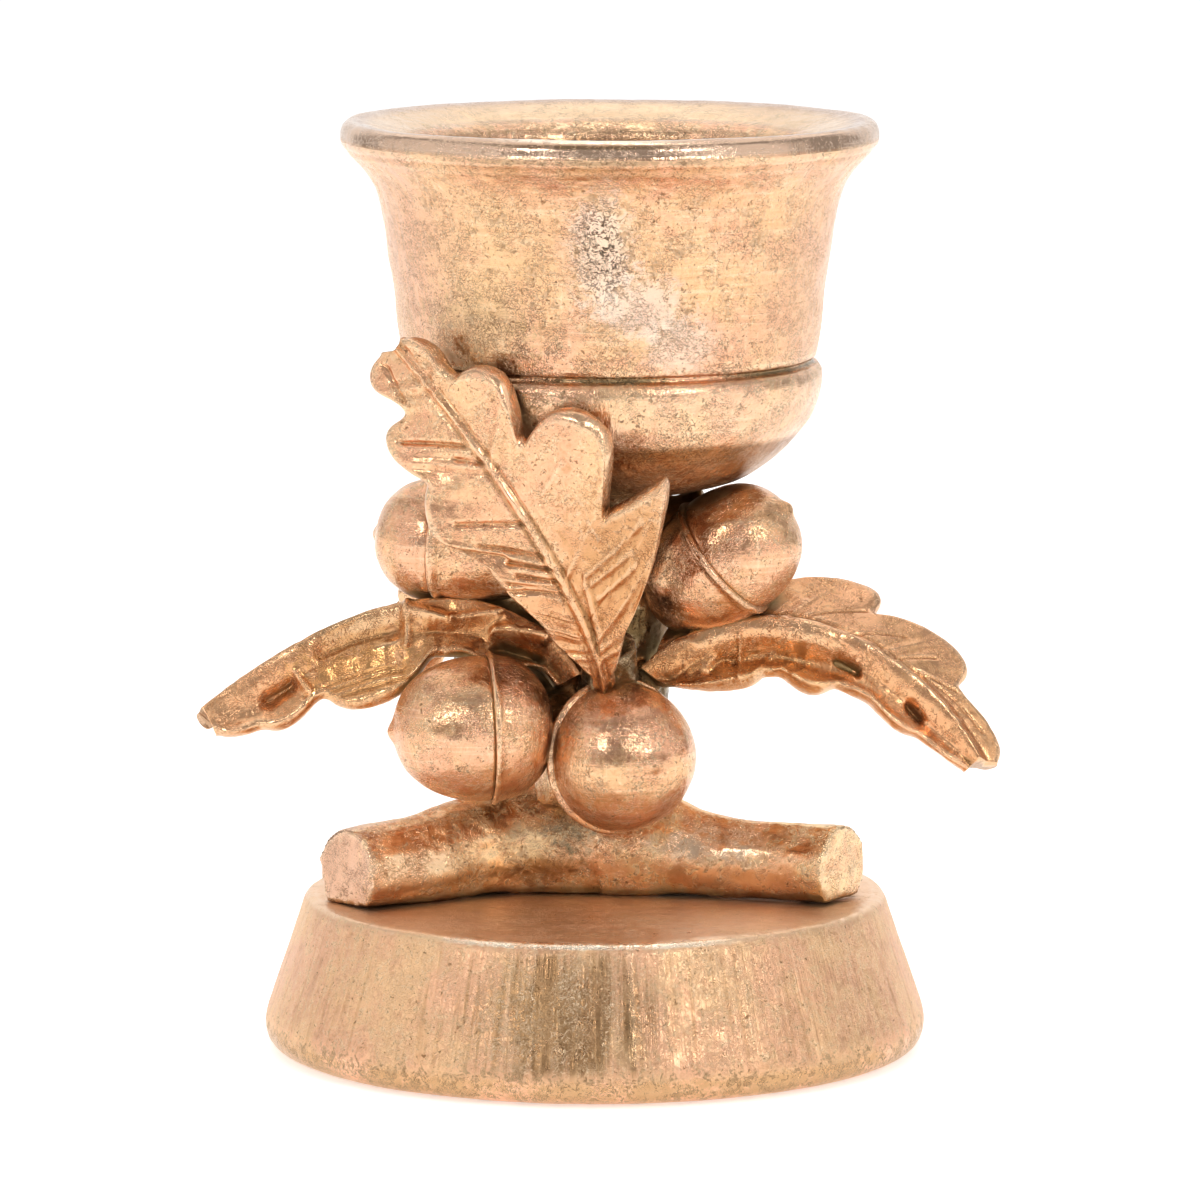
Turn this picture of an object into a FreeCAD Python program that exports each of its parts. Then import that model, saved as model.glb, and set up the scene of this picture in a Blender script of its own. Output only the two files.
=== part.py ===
import FreeCAD, Part
import math
import os
from FreeCAD import Vector

# Oak leaf and acorn candle holder, in millimetres.
# X is to the right, Y points away from the viewer and Z is up. The origin is under the middle of the base.

# Fits between pieces
peg_gap = 0.1
peg_sides = 8
post_sides = 12
seat_gap = 0.3
cut_over = 1.0

# Base casting, which draws in from its widest line to its top and to its foot
base_height = 17.0
base_widest_radius = 36.2
base_widest_height = 3.7
base_top_step = 4.4
base_foot_step = 1.5
base_edge_chamfer = 0.8
base_top_radius = base_widest_radius - base_top_step
base_foot_radius = base_widest_radius - base_foot_step

# Felt pad, which stands a little out of its recess
felt_margin = 3.7
felt_thickness = 1.5
felt_stand_out = 0.3
felt_radius = base_foot_radius - felt_margin

# Screw through the base into the post
screw_head_radius = 3.0
screw_head_height = 2.2
screw_shank_radius = 1.5
screw_grip = 7.0

# Post between base and cup, which stands off the middle of the base
post_set_off = 1.3
post_radius = 7.0
post_tenon_radius = 3.0
post_tenon_depth = 6.0
peg_depth_share = 0.55

# Middle of the cluster, from which its places are measured, above the base
cluster_rise = 24.0
cluster_height = base_height + cluster_rise

# Forked branch
branch_width = 9.8
branch_end_height = 8.3
branch_hub_height = 12.4
branch_sides = 12
flat_chord_share = 0.70

# Candle cup, whose bowl, wall, flare and lip stack up from its bottom
cup_rise = 20.0
cup_bowl_height = 13.0
cup_wall_height = 10.5
cup_flare_height = 14.5
cup_lip_thickness = 2.6
cup_bottom_height = cluster_height + cup_rise
cup_belly_height = cup_bottom_height + cup_bowl_height
cup_neck_height = cup_belly_height + cup_wall_height
cup_rim_height = cup_neck_height + cup_flare_height + cup_lip_thickness
cup_foot_radius = 6.0
cup_belly_radius = 23.0
cup_groove_depth = 0.9
cup_groove_width = 1.4
cup_waist_radius = 22.4
cup_neck_radius = 23.4
cup_rim_radius = 29.0
cup_bore_radius = 20.0
cup_bore_depth = 26.0
cup_mouth_drop = 2.6
cup_lip_round = 0.9
cup_sides = 60
bowl_bands = 5
flare_bands = 4

# Acorns
acorn_radius = 7.9
acorn_sides = 14
nut_bands = 5
cap_bands = 4
nut_spigot_share = 0.62
nut_spigot_length = 1.4
acorn_peg_radius = 1.5
acorn_seam_step = 0.35

# Leaves
leaf_thickness = 2.4
leaf_stalk_radius = 1.3
leaf_root_width = 3.4
leaf_fade_share = 0.15
midrib_rise = 0.6
front_leaf_size = 42.0
side_leaf_size = 42.0
rear_leaf_size = 36.0
edge_share = 0.86
half_share = 0.45

# Directions of the two mitre planes beside each branch arm, in shares of a turn from +X
mitre_turn_shares = {
    "right_branch": (-0.242, 0.111),
    "rear_branch": (0.111, 0.406),
    "left_branch": (0.406, 0.758),
}


def post_point(shares, size, height):
    """A point placed from the post's axis at a height, in shares of a size."""
    across, away, up = shares
    return Vector(post_set_off + across * size, away * size, height + up * size)


def post_axis(height):
    """The point of the post's axis at a height."""
    return Vector(post_set_off, 0, height)


def revolved(profile, centre_x):
    """A turned solid from a closed profile of (radius, height) points."""
    points = [Vector(centre_x + radius, 0, height) for radius, height in profile]
    face = Part.Face(Part.makePolygon(points + points[:1]))
    return face.revolve(Vector(centre_x, 0, 0), Vector(0, 0, 1), 360)


def rod(start, end, radius):
    """A round rod between two points."""
    run = end - start
    return Part.makeCylinder(radius, run.Length, start, run)


def ring_about(centre, axis, radius, sides):
    """One ring of points about an axis."""
    across, beside = frame_about(axis)
    ring = []
    for side in range(sides):
        turn = 2 * math.pi * side / sides
        ring.append(centre + (across * math.cos(turn) + beside * math.sin(turn)) * radius)
    return ring


def bar(start, end, radius, sides):
    """A flat-sided bar between two points, or the room for one."""
    return facet(*ring_about(start, end - start, radius, sides)).extrude(end - start)


def facet(*corners):
    """A flat face through its corners."""
    return Part.Face(Part.makePolygon(list(corners) + [corners[0]]))


def skinned(rings, last_apex=None):
    """A closed solid of flat facets over rings of equal count, fanned shut at both ends."""
    faces = []
    for ring, after in zip(rings, rings[1:]):
        for here in range(len(ring)):
            beside = (here + 1) % len(ring)
            faces.append(facet(ring[here], ring[beside], after[beside]))
            faces.append(facet(ring[here], after[beside], after[here]))
    for ring, apex in ((rings[0], None), (rings[-1], last_apex)):
        apex = apex or sum(ring, Vector()) * (1 / len(ring))
        for here in range(len(ring)):
            faces.append(facet(ring[here], ring[(here + 1) % len(ring)], apex))
    shell = Part.makeShell(faces)
    shell.sewShape()
    solid = Part.makeSolid(shell)
    if solid.Volume < 0:
        solid.reverse()
    return solid


def carved_to_fit(shape, neighbours):
    """The shape with its neighbours' room cut away, so that they seat face to face."""
    for neighbour in neighbours:
        if shape.BoundBox.intersect(neighbour.BoundBox):
            shape = shape.cut(neighbour)
    return max(shape.Solids, key=lambda solid: solid.Volume)


def frame_about(axis):
    """Two unit vectors square to an axis and to each other."""
    axis = Vector(axis).normalize()
    helper = Vector(0, 0, 1) if abs(axis.z) < abs(axis.x) + abs(axis.y) else Vector(0, 1, 0)
    across = axis.cross(helper).normalize()
    return across, axis.cross(across).normalize()


# Base, felt and screw

def build_base():
    """Tapered casting with a rolled foot, a felt recess, the post's socket and the screw's hole."""
    profile = [
        (0, felt_stand_out),
        (base_foot_radius, felt_stand_out),
        (base_widest_radius, base_widest_height / 2),
        (base_widest_radius, base_widest_height),
        (base_top_radius, base_height - base_edge_chamfer),
        (base_top_radius - base_edge_chamfer, base_height),
        (0, base_height),
    ]
    base = revolved(profile, 0)
    recess = Part.makeCylinder(felt_radius + peg_gap, felt_thickness + cut_over, Vector(0, 0, -cut_over))
    socket_foot = base_height - post_tenon_depth
    socket = rod(post_axis(socket_foot), post_axis(base_height + cut_over), post_tenon_radius + peg_gap)
    hole = rod(post_axis(0), post_axis(base_height), screw_shank_radius + peg_gap)
    pocket_top = felt_thickness + screw_head_height
    pocket = rod(post_axis(0), post_axis(pocket_top), screw_head_radius + peg_gap)
    return base.cut(recess).cut(socket).cut(hole).cut(pocket)


def build_felt():
    """Round pad in the recess, on which the holder stands."""
    return Part.makeCylinder(felt_radius, felt_thickness)


def build_screw():
    """Pan head and plain shank, from the recess into the post."""
    tip = base_height - post_tenon_depth + screw_grip
    head = rod(post_axis(felt_thickness), post_axis(felt_thickness + screw_head_height), screw_head_radius)
    return head.fuse(rod(post_axis(felt_thickness), post_axis(tip), screw_shank_radius))


# Post

def peg_into_post(start):
    """End of a level peg that starts beside the post and goes part of the way to its axis."""
    axis = post_axis(start.z)
    outward = (start - axis).normalize()
    return axis + outward * (post_radius * (1 - peg_depth_share))


def post_room(gap):
    """The post's body between hub and cup, grown all round by a gap."""
    shoulder = base_height + branch_hub_height
    return bar(post_axis(shoulder - gap), post_axis(cup_bottom_height), post_radius + gap, post_sides)


def build_post(pegs):
    """Flat-sided post with a round tenon at each end and a hole for every peg."""
    foot = base_height - post_tenon_depth
    post = post_room(0)
    tenons = rod(post_axis(foot), post_axis(cup_bottom_height + post_tenon_depth), post_tenon_radius)
    pilot = rod(post_axis(foot - cut_over), post_axis(foot + screw_grip), screw_shank_radius)
    post = post.fuse(tenons).cut(pilot)
    for start, end, radius in pegs:
        post = post.cut(bar(end, start, radius + peg_gap, peg_sides))
    return post.removeSplitter()


# Branch

# Path of each arm's middle line in plan, from the sawn end to the post, as shares of the base's top radius,
# with the arm's width and height there as shares of branch_width and of its own range of height.
arm_shares = {
    "left_branch": [
        (-0.849, -0.305, 1.00, 0.00),
        (-0.600, -0.167, 0.90, 0.30),
        (-0.409, -0.038, 0.90, 0.55),
        (-0.220, 0.030, 1.05, 0.85),
        (0.041, 0.030, 1.20, 1.00),
    ],
    "right_branch": [
        (0.842, -0.220, 1.05, 0.05),
        (0.655, -0.128, 0.95, 0.02),
        (0.470, -0.075, 0.95, 0.08),
        (0.270, -0.020, 1.05, 0.50),
        (0.041, 0.020, 1.20, 1.00),
    ],
    "rear_branch": [
        (-0.060, 0.860, 0.95, 0.00),
        (-0.010, 0.640, 0.90, 0.15),
        (0.030, 0.430, 0.95, 0.40),
        (0.040, 0.230, 1.05, 0.80),
        (0.041, 0.020, 1.20, 1.00),
    ],
}
# Heading of each sawn face, in degrees from +X
# Way that each sawn face looks, in shares of a turn from +X
sawn_turn_shares = {"left_branch": 0.606, "right_branch": -0.086, "rear_branch": 0.289}


def flat_bottomed_ring(centre, heading, width, height):
    """A round section cut flat underneath, square to its heading."""
    drop_share = math.sqrt(1 - flat_chord_share ** 2)
    rise = height / (1 + drop_share)
    start = -math.asin(drop_share)
    sweep = math.pi - 2 * start
    across = Vector(-math.sin(heading), math.cos(heading), 0)
    ring = []
    for side in range(branch_sides):
        angle = start + sweep * side / (branch_sides - 1)
        lift = rise * (drop_share + math.sin(angle))
        ring.append(centre + across * (width / 2 * math.cos(angle)) + Vector(0, 0, lift))
    return ring


def sector(start_share, end_share):
    """A tall wedge of the space about the post, between two mitre planes."""
    reach = base_widest_radius * 2
    middle_share = (start_share + end_share) / 2
    corners = [Vector(post_set_off, 0, 0)]
    for turn_share in (start_share, middle_share, end_share):
        turn = math.tau * turn_share
        corners.append(Vector(post_set_off + reach * math.cos(turn), reach * math.sin(turn), 0))
    return Part.Face(Part.makePolygon(corners + corners[:1])).extrude(Vector(0, 0, cup_rim_height))


def build_arm(name):
    """One arm of the fork, mitred against the other two and bored for the post."""
    stations = arm_shares[name]
    places = [Vector(x * base_top_radius, y * base_top_radius, base_height) for x, y, _, _ in stations]
    rings = []
    for index, (_, _, width_share, height_share) in enumerate(stations):
        before = places[max(index - 1, 0)]
        after = places[min(index + 1, len(places) - 1)]
        run = after - before
        along = math.atan2(-run.y, -run.x)
        heading = along
        width = branch_width * width_share
        if index == 0:
            heading = math.tau * sawn_turn_shares[name]
            width = width / math.cos(heading - along)
        height = branch_end_height + (branch_hub_height - branch_end_height) * height_share
        rings.append(flat_bottomed_ring(places[index], heading, width, height))
    inward = (places[-1] - places[-2]).normalize() * branch_width
    rings.append([point + inward for point in rings[-1]])
    arm = skinned(rings).common(sector(*mitre_turn_shares[name]))
    tenon_hole = rod(post_axis(0), post_axis(cluster_height), post_tenon_radius + peg_gap)
    return arm.cut(tenon_hole).cut(post_room(0))


# Cup

def build_cup():
    """Flared cup: round bowl, bead groove, tapering wall, rolled lip, dished mouth and a straight bore."""
    profile = []
    for band in range(bowl_bands + 1):
        turn = math.pi / 2 * band / bowl_bands
        radius = cup_foot_radius + (cup_belly_radius - cup_foot_radius) * math.sin(turn)
        height = cup_belly_height - (cup_belly_height - cup_bottom_height) * math.cos(turn)
        profile.append((radius, height))
    groove_height = cup_belly_height + cup_groove_width
    profile.append((cup_belly_radius - cup_groove_depth, groove_height))
    profile.append((cup_waist_radius, groove_height + cup_groove_width / 2))
    for band in range(flare_bands + 1):
        turn = math.pi / 2 * band / flare_bands
        radius = cup_rim_radius - (cup_rim_radius - cup_neck_radius) * math.cos(turn)
        height = cup_neck_height + cup_flare_height * math.sin(turn)
        profile.append((radius, height))
    profile.append((cup_rim_radius, cup_rim_height - cup_lip_round))
    lip_radius = cup_rim_radius - cup_lip_round
    profile.append((lip_radius, cup_rim_height))
    mouth_height = cup_rim_height - cup_mouth_drop
    steepness = cup_mouth_drop / (lip_radius - cup_bore_radius)
    profile.append((cup_bore_radius - cut_over, mouth_height - cut_over * steepness))
    up = Vector(0, 0, 1)
    cup = skinned([ring_about(post_axis(height), up, radius, cup_sides) for radius, height in profile])
    bore = rod(post_axis(mouth_height - cup_bore_depth), post_axis(cup_rim_height), cup_bore_radius)
    socket_top = cup_bottom_height + post_tenon_depth + seat_gap
    socket = rod(post_axis(cup_bottom_height - cut_over), post_axis(socket_top), post_tenon_radius + peg_gap)
    return cup.cut(bore).cut(socket)


# Acorns

# Seam centre of each acorn from the middle of the cluster, and its direction from cap to nut tip, as
# shares of acorn_radius; then its radius, nut length and cap length as shares of acorn_radius.
acorn_shares = {
    "front_left_acorn": [(-1.63, -1.53, -0.52), (-0.99, -0.12, -0.02), 1.00, 1.30, 0.88],
    "front_right_acorn": [(0.14, -1.42, -0.92), (0.45, -0.88, 0.05), 1.02, 1.08, 0.62],
    "upper_left_acorn": [(-2.24, -0.20, 1.88), (-0.95, 0.28, 0.05), 0.86, 0.96, 1.55],
    "upper_right_acorn": [(1.62, -0.60, 1.72), (0.75, -0.22, 0.62), 0.88, 1.08, 1.30],
    "rear_lower_acorn": [(-0.58, 1.30, -0.48), (-0.45, 0.88, -0.10), 0.98, 1.25, 0.74],
    "rear_upper_acorn": [(0.42, 1.40, 1.42), (0.30, 0.93, 0.15), 0.90, 1.10, 0.95],
}
dome_share = 0.833
crown_share = 0.94
nut_point_share = 0.07


def dome_rings(foot, axis, radius, length, bands, sign):
    """Rings of a dome from its open foot to near its crown, on the side of the foot that sign gives."""
    rings = []
    for band in range(bands + 1):
        turn = math.pi / 2 * crown_share * band / bands
        spread = math.cos(turn) ** dome_share
        lift = math.sin(turn) ** dome_share
        rings.append(ring_about(foot + axis * (sign * length * lift), axis, radius * spread, acorn_sides))
    return rings


def acorn_frame(name):
    """Seam centre, axis, radius, nut length and cap length of one acorn."""
    place, direction, radius_share, nut_share, cap_share = acorn_shares[name]
    seam = post_point(place, acorn_radius, cluster_height)
    axis = Vector(*direction).normalize()
    return seam, axis, acorn_radius * radius_share, acorn_radius * nut_share, acorn_radius * cap_share


def acorn_peg(name):
    """Start, end and radius of the level peg from an acorn's cap into the post."""
    seam, axis, _, _, cap_length = acorn_frame(name)
    start = seam - axis * max(cap_length / 2, nut_spigot_length + acorn_peg_radius)
    return start, peg_into_post(start), acorn_peg_radius


def build_acorn(name):
    """A nut whose spigot seats in its cap, and a cap with a raised seam edge and its peg."""
    seam, axis, radius, nut_length, cap_length = acorn_frame(name)
    spigot_radius = radius * nut_spigot_share
    spigot_foot = seam - axis * nut_spigot_length
    spigot = [ring_about(place, axis, spigot_radius, acorn_sides) for place in (spigot_foot, seam)]
    tip = seam + axis * (nut_length * (1 + nut_point_share))
    nut = skinned(spigot + dome_rings(seam, axis, radius, nut_length, nut_bands, 1), tip)
    socket_radius = spigot_radius + peg_gap
    socket_floor = spigot_foot - axis * peg_gap
    socket = [ring_about(place, axis, socket_radius, acorn_sides) for place in (socket_floor, seam)]
    cap = skinned(socket + dome_rings(seam, axis, radius + acorn_seam_step, cap_length, cap_bands, -1))
    cap = carved_to_fit(cap, [post_room(peg_gap)])
    start, end, peg_radius = acorn_peg(name)
    return nut, cap.fuse(bar(end, start, peg_radius, peg_sides))


# Leaves

# Each leaf has the four control points of its midrib's curve from the middle of the cluster, in shares of
# the leaf's size, and the way its face looks at root and tip. Its right and left halves have how far they
# fold and how far their ribs lean forward, in degrees, how much they cup, and the width of the web between
# the lobes at root and tip. Each lobe has its start, peak and end along the midrib, its reach and roundness.
leaf_shares = {
    "front_leaf": {
        "midrib": [(-0.01, -0.3, 0.01), (-0.03, -0.5, 0.22), (-0.26, -0.62, 0.62), (-0.53, -0.34, 0.895)],
        "facing": [(0.0, -1.0, 0.0), (-0.45, -0.85, 0.1)],
        "folds": (10.0, -4.0),
        "cups": (0.25, 0.0),
        "leans": (38.0, 43.0),
        "webs": [(0.155, 0.106), (0.125, 0.182)],
        "right_lobes": [
            (0.11, 0.19, 0.478, 0.49, 1.05),
            (0.343, 0.379, 0.626, 0.4, 1.9),
            (0.568, 0.685, 0.852, 0.23, 1.45),
            (0.818, 0.878, 0.992, 0.1, 1.63),
        ],
        "left_lobes": [
            (0.137, 0.351, 0.45, 0.215, 1.68),
            (0.332, 0.428, 0.733, 0.32, 1.61),
            (0.566, 0.681, 0.825, 0.276, 2.22),
            (0.795, 0.89, 0.995, 0.178, 1.6),
        ],
    },
    "left_leaf": {
        "midrib": [(-0.1, -0.17, 0.0), (-0.34, -0.1, 0.35), (-0.79, -0.08, 0.09), (-1.04, -0.16, -0.1)],
        "facing": [(0.0, -0.35, 1.0), (-0.3, -0.5, 1.0)],
        "folds": (-34.0, -48.0),
        "cups": (-0.3, -0.5),
        "leans": (35.0, 20.0),
        "webs": [(0.12, 0.08), (0.1, 0.15)],
        "right_lobes": [
            (0.03, 0.22, 0.36, 0.18, 2),
            (0.32, 0.47, 0.6, 0.22, 2),
            (0.57, 0.72, 0.84, 0.17, 2),
            (0.8, 0.9, 1.0, 0.08, 2),
        ],
        "left_lobes": [
            (0.05, 0.2, 0.32, 0.12, 2),
            (0.34, 0.52, 0.7, 0.2, 2.5),
            (0.62, 0.78, 0.9, 0.145, 2),
            (0.84, 0.92, 1.0, 0.08, 2),
        ],
    },
    "right_leaf": {
        "midrib": [(0.11, -0.17, 0.01), (0.34, -0.12, 0.24), (0.74, -0.14, 0.14), (0.95, -0.2, -0.22)],
        "facing": [(0.0, -0.35, 1.0), (0.3, -0.6, 1.0)],
        "folds": (-48.0, 3.0),
        "cups": (0.3, 0.2),
        "leans": (20.0, 32.0),
        "webs": [(0.15, 0.1), (0.22, 0.14)],
        "right_lobes": [
            (0.0, 0.2, 0.36, 0.16, 2.2),
            (0.3, 0.46, 0.6, 0.165, 2),
            (0.58, 0.74, 0.88, 0.12, 2),
            (0.84, 0.92, 1.0, 0.05, 2),
        ],
        "left_lobes": [
            (0.03, 0.16, 0.27, 0.21, 2),
            (0.22, 0.4, 0.53, 0.29, 2.4),
            (0.47, 0.66, 0.79, 0.245, 2.4),
            (0.74, 0.89, 1.0, 0.14, 2.2),
        ],
    },
    "rear_leaf": {
        "midrib": [(-0.11, 0.2, 0.16), (-0.22, 0.42, 0.42), (-0.52, 0.74, 0.26), (-0.62, 0.92, -0.12)],
        "facing": [(-0.1, 0.35, 1.0), (-0.4, 0.5, 1.0)],
        "folds": (-14.0, -14.0),
        "cups": (-0.2, -0.2),
        "leans": (34.0, 34.0),
        "webs": [(0.2, 0.12), (0.2, 0.12)],
        "right_lobes": [
            (0.03, 0.17, 0.3, 0.24, 2),
            (0.24, 0.42, 0.56, 0.33, 2.2),
            (0.52, 0.69, 0.81, 0.26, 2.2),
            (0.77, 0.9, 1.0, 0.12, 2),
        ],
        "left_lobes": [
            (0.03, 0.19, 0.32, 0.25, 2),
            (0.27, 0.45, 0.59, 0.32, 2.2),
            (0.55, 0.71, 0.83, 0.24, 2.2),
            (0.78, 0.9, 1.0, 0.12, 2),
        ],
    },
}
leaf_sizes = {
    "front_leaf": front_leaf_size,
    "left_leaf": side_leaf_size,
    "right_leaf": side_leaf_size,
    "rear_leaf": rear_leaf_size,
}
lobe_step_shares = (-0.97, -0.74, 0.0, 0.74, 0.97)
least_step_share = 0.018
last_rib_share = 0.985
closing_share = 0.167


def midrib_point(controls, place):
    """Point and unit tangent on the midrib's cubic curve; past the tip it runs straight on."""
    inside = min(place, 1)
    rest = 1 - inside
    a, b, c, d = controls
    point = a * rest ** 3 + b * (3 * rest ** 2 * inside) + c * (3 * rest * inside ** 2) + d * inside ** 3
    slope = (b - a) * (3 * rest ** 2) + (c - b) * (6 * rest * inside) + (d - c) * (3 * inside ** 2)
    return point + slope * (place - inside), Vector(slope).normalize(), slope.Length


def reach_at(lobes, webs, place, size):
    """Half width of the blade: the widest of its lobes there, over the web along the midrib."""
    closing = math.sqrt(max(1 - place ** (1 / closing_share), 0))
    web = size * (webs[0] + (webs[1] - webs[0]) * place) * min(place / leaf_fade_share, 1)
    width = max(web, leaf_root_width / 2) * closing
    for start, peak, end, reach, roundness in lobes:
        offset = abs(place - peak) / (peak - start if place < peak else end - peak)
        if offset < 1:
            width = max(width, size * reach * (1 - offset ** roundness) ** (1 / roundness))
    return width


def blade_point(leaf, size, controls, place, side, out, level):
    """A point of the blade: side is 1 or -1, out runs from midrib to edge and level is up the thickness."""
    index = 0 if side > 0 else 1
    lobes = leaf["right_lobes"] if side > 0 else leaf["left_lobes"]
    lean = math.radians(leaf["leans"][index])
    distance = out * reach_at(lobes, leaf["webs"][index], place, size)
    _, _, speed = midrib_point(controls, place)
    point, along, _ = midrib_point(controls, place + distance * math.sin(lean) / speed)
    root_facing, tip_facing = (Vector(*facing) for facing in leaf["facing"])
    facing = root_facing * (1 - place) + tip_facing * place
    across = along.cross(facing).normalize()
    normal = across.cross(along).normalize()
    spread = distance * math.cos(lean)
    fold = math.radians(leaf["folds"][index])
    cup = leaf["cups"][index] * spread ** 2 / size
    slope = math.atan(2 * leaf["cups"][index] * spread / size)
    point = point + across * (side * spread * math.cos(fold)) + normal * (spread * math.sin(fold) + cup)
    tilt = (fold + slope) * min(distance / leaf_thickness, 1)
    outward = normal * math.cos(tilt) - across * (side * math.sin(tilt))
    return point + outward * level


def leaf_places(leaf):
    """Places along the midrib where ribs are drawn: across each lobe, and at root and tip."""
    wanted = [0.0, last_rib_share, leaf_fade_share / 4]
    for lobes in (leaf["right_lobes"], leaf["left_lobes"]):
        for start, peak, end, _, _ in lobes:
            for step in lobe_step_shares:
                wanted.append(peak + step * (peak - start if step < 0 else end - peak))
    places = []
    for place in wanted:
        if 0 <= place <= last_rib_share and all(abs(place - other) > least_step_share for other in places):
            places.append(place)
    return sorted(places)


def leaf_controls(name):
    """The four control points of a leaf's midrib."""
    return [post_point(shares, leaf_sizes[name], cluster_height) for shares in leaf_shares[name]["midrib"]]


def leaf_stalk(name):
    """Start, end and radius of the level stalk from a leaf's root into the post."""
    start = leaf_controls(name)[0]
    return start, peg_into_post(start), leaf_stalk_radius


def build_leaf(name):
    """A lobed blade, bent along its midrib and folded across it, with a round stalk into the post."""
    leaf = leaf_shares[name]
    controls = leaf_controls(name)
    half = leaf_thickness / 2
    walk = [(-1, 1, 0), (-1, edge_share, half), (-1, half_share, half), (1, 0, half + midrib_rise),
            (1, half_share, half), (1, edge_share, half), (1, 1, 0), (1, edge_share, -half),
            (1, half_share, -half), (1, 0, -half), (-1, half_share, -half), (-1, edge_share, -half)]
    rings = []
    for place in leaf_places(leaf):
        rings.append([blade_point(leaf, leaf_sizes[name], controls, place, *step) for step in walk])
    blade = carved_to_fit(skinned(rings), [post_room(peg_gap)])
    start, end, radius = leaf_stalk(name)
    return blade.fuse(bar(end, start, radius, peg_sides))


parts = {}
parts["base_plinth"] = build_base()
parts["felt_pad"] = build_felt()
parts["fixing_screw"] = build_screw()
parts["candle_cup"] = build_cup()
pegs = []
neighbours = [parts["candle_cup"]]
for acorn_name in acorn_shares:
    nut, cap = build_acorn(acorn_name)
    nut = carved_to_fit(nut, [parts["candle_cup"]])
    cap = carved_to_fit(cap, neighbours)
    neighbours += [nut, cap]
    parts[acorn_name + "_nut"] = nut
    parts[acorn_name + "_cap"] = cap
    pegs.append(acorn_peg(acorn_name))
for leaf_name in leaf_shares:
    leaf = carved_to_fit(build_leaf(leaf_name), neighbours)
    neighbours.append(leaf)
    parts[leaf_name] = leaf
    pegs.append(leaf_stalk(leaf_name))
for arm_name in arm_shares:
    parts[arm_name] = build_arm(arm_name)
parts["centre_post"] = build_post(pegs)

os.makedirs("parts", exist_ok=True)
for part_name, shape in parts.items():
    print(part_name, shape.isValid(), len(shape.Solids), round(shape.Volume, 1))
    shape.exportStep("parts/" + part_name + ".step")
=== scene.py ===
import math

import bmesh
import bpy
import numpy as np
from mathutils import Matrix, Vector


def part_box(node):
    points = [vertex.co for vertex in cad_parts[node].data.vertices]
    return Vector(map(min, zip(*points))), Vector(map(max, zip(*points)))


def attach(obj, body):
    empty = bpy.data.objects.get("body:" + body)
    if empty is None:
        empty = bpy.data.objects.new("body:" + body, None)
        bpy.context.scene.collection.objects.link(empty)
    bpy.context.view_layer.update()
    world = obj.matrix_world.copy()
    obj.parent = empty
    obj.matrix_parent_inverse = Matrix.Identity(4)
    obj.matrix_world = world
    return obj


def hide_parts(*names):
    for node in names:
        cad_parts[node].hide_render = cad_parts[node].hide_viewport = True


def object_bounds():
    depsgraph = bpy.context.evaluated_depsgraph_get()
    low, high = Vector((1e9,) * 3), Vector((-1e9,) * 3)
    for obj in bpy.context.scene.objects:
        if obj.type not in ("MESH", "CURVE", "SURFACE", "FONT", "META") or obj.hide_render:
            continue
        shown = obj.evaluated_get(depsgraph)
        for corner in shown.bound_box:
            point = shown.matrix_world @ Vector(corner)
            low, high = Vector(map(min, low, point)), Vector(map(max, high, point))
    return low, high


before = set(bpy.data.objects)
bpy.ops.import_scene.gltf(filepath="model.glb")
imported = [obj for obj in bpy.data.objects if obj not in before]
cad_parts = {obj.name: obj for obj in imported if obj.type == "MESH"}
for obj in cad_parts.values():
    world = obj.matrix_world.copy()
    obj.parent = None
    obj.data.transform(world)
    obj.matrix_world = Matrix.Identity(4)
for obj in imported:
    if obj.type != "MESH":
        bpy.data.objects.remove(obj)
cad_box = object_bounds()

# Oak leaf and acorn candle holder in rubbed gold leaf. Sizes here are in millimetres, as in the drawing, and
# become metres where a mesh is made.
MM = 0.001
cup_low, cup_high = (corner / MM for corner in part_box("candle_cup"))
_, base_high = (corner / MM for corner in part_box("base_plinth"))
POST_X = (cup_low.x + cup_high.x) / 2
CLUSTER_HEIGHT = 41.0
WELD = 0.004
SLIVER = 0.002
LINE_HEIGHTS = 4096
BUMP_DEPTH = 0.3
scene = bpy.context.scene


# Mesh helpers

def placed(name, data):
    """A new object in the scene."""
    piece = bpy.data.objects.new(name, data)
    scene.collection.objects.link(piece)
    return piece


def read_points(piece):
    """The places of a piece's points, in metres."""
    points = np.empty(len(piece.data.vertices) * 3)
    piece.data.vertices.foreach_get("co", points)
    return points.reshape(-1, 3)


def write_points(piece, points):
    """Puts a piece's points at new places, in metres."""
    piece.data.vertices.foreach_set("co", points.ravel())


def mesh_piece(name, points, faces):
    """A mesh object from points in millimetres, with doubles merged and faces pointing outwards."""
    mesh = bpy.data.meshes.new(name)
    mesh.from_pydata([tuple(point) for point in np.asarray(points) * MM], [], faces)
    form = bmesh.new()
    form.from_mesh(mesh)
    bmesh.ops.remove_doubles(form, verts=form.verts, dist=MM * WELD)
    bmesh.ops.dissolve_degenerate(form, edges=form.edges, dist=MM * SLIVER)
    bmesh.ops.recalc_face_normals(form, faces=form.faces)
    form.to_mesh(mesh)
    form.free()
    mesh.shade_smooth()
    return placed(name, mesh)


def tube_faces(rows, columns):
    """Quads over rows of closed rings of equal count, with both ends shut by one polygon."""
    faces = []
    for row in range(rows - 1):
        for column in range(columns):
            beside = (column + 1) % columns
            faces.append((row * columns + column, row * columns + beside,
                          (row + 1) * columns + beside, (row + 1) * columns + column))
    faces.append(tuple(range(columns)))
    last = (rows - 1) * columns
    faces.append(tuple(last + column for column in range(columns)))
    return faces


def tube(name, rings):
    """A closed tube over rings of points, an array of rows by columns by 3."""
    rows, columns, _ = rings.shape
    return mesh_piece(name, rings.reshape(-1, 3), tube_faces(rows, columns))


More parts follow.
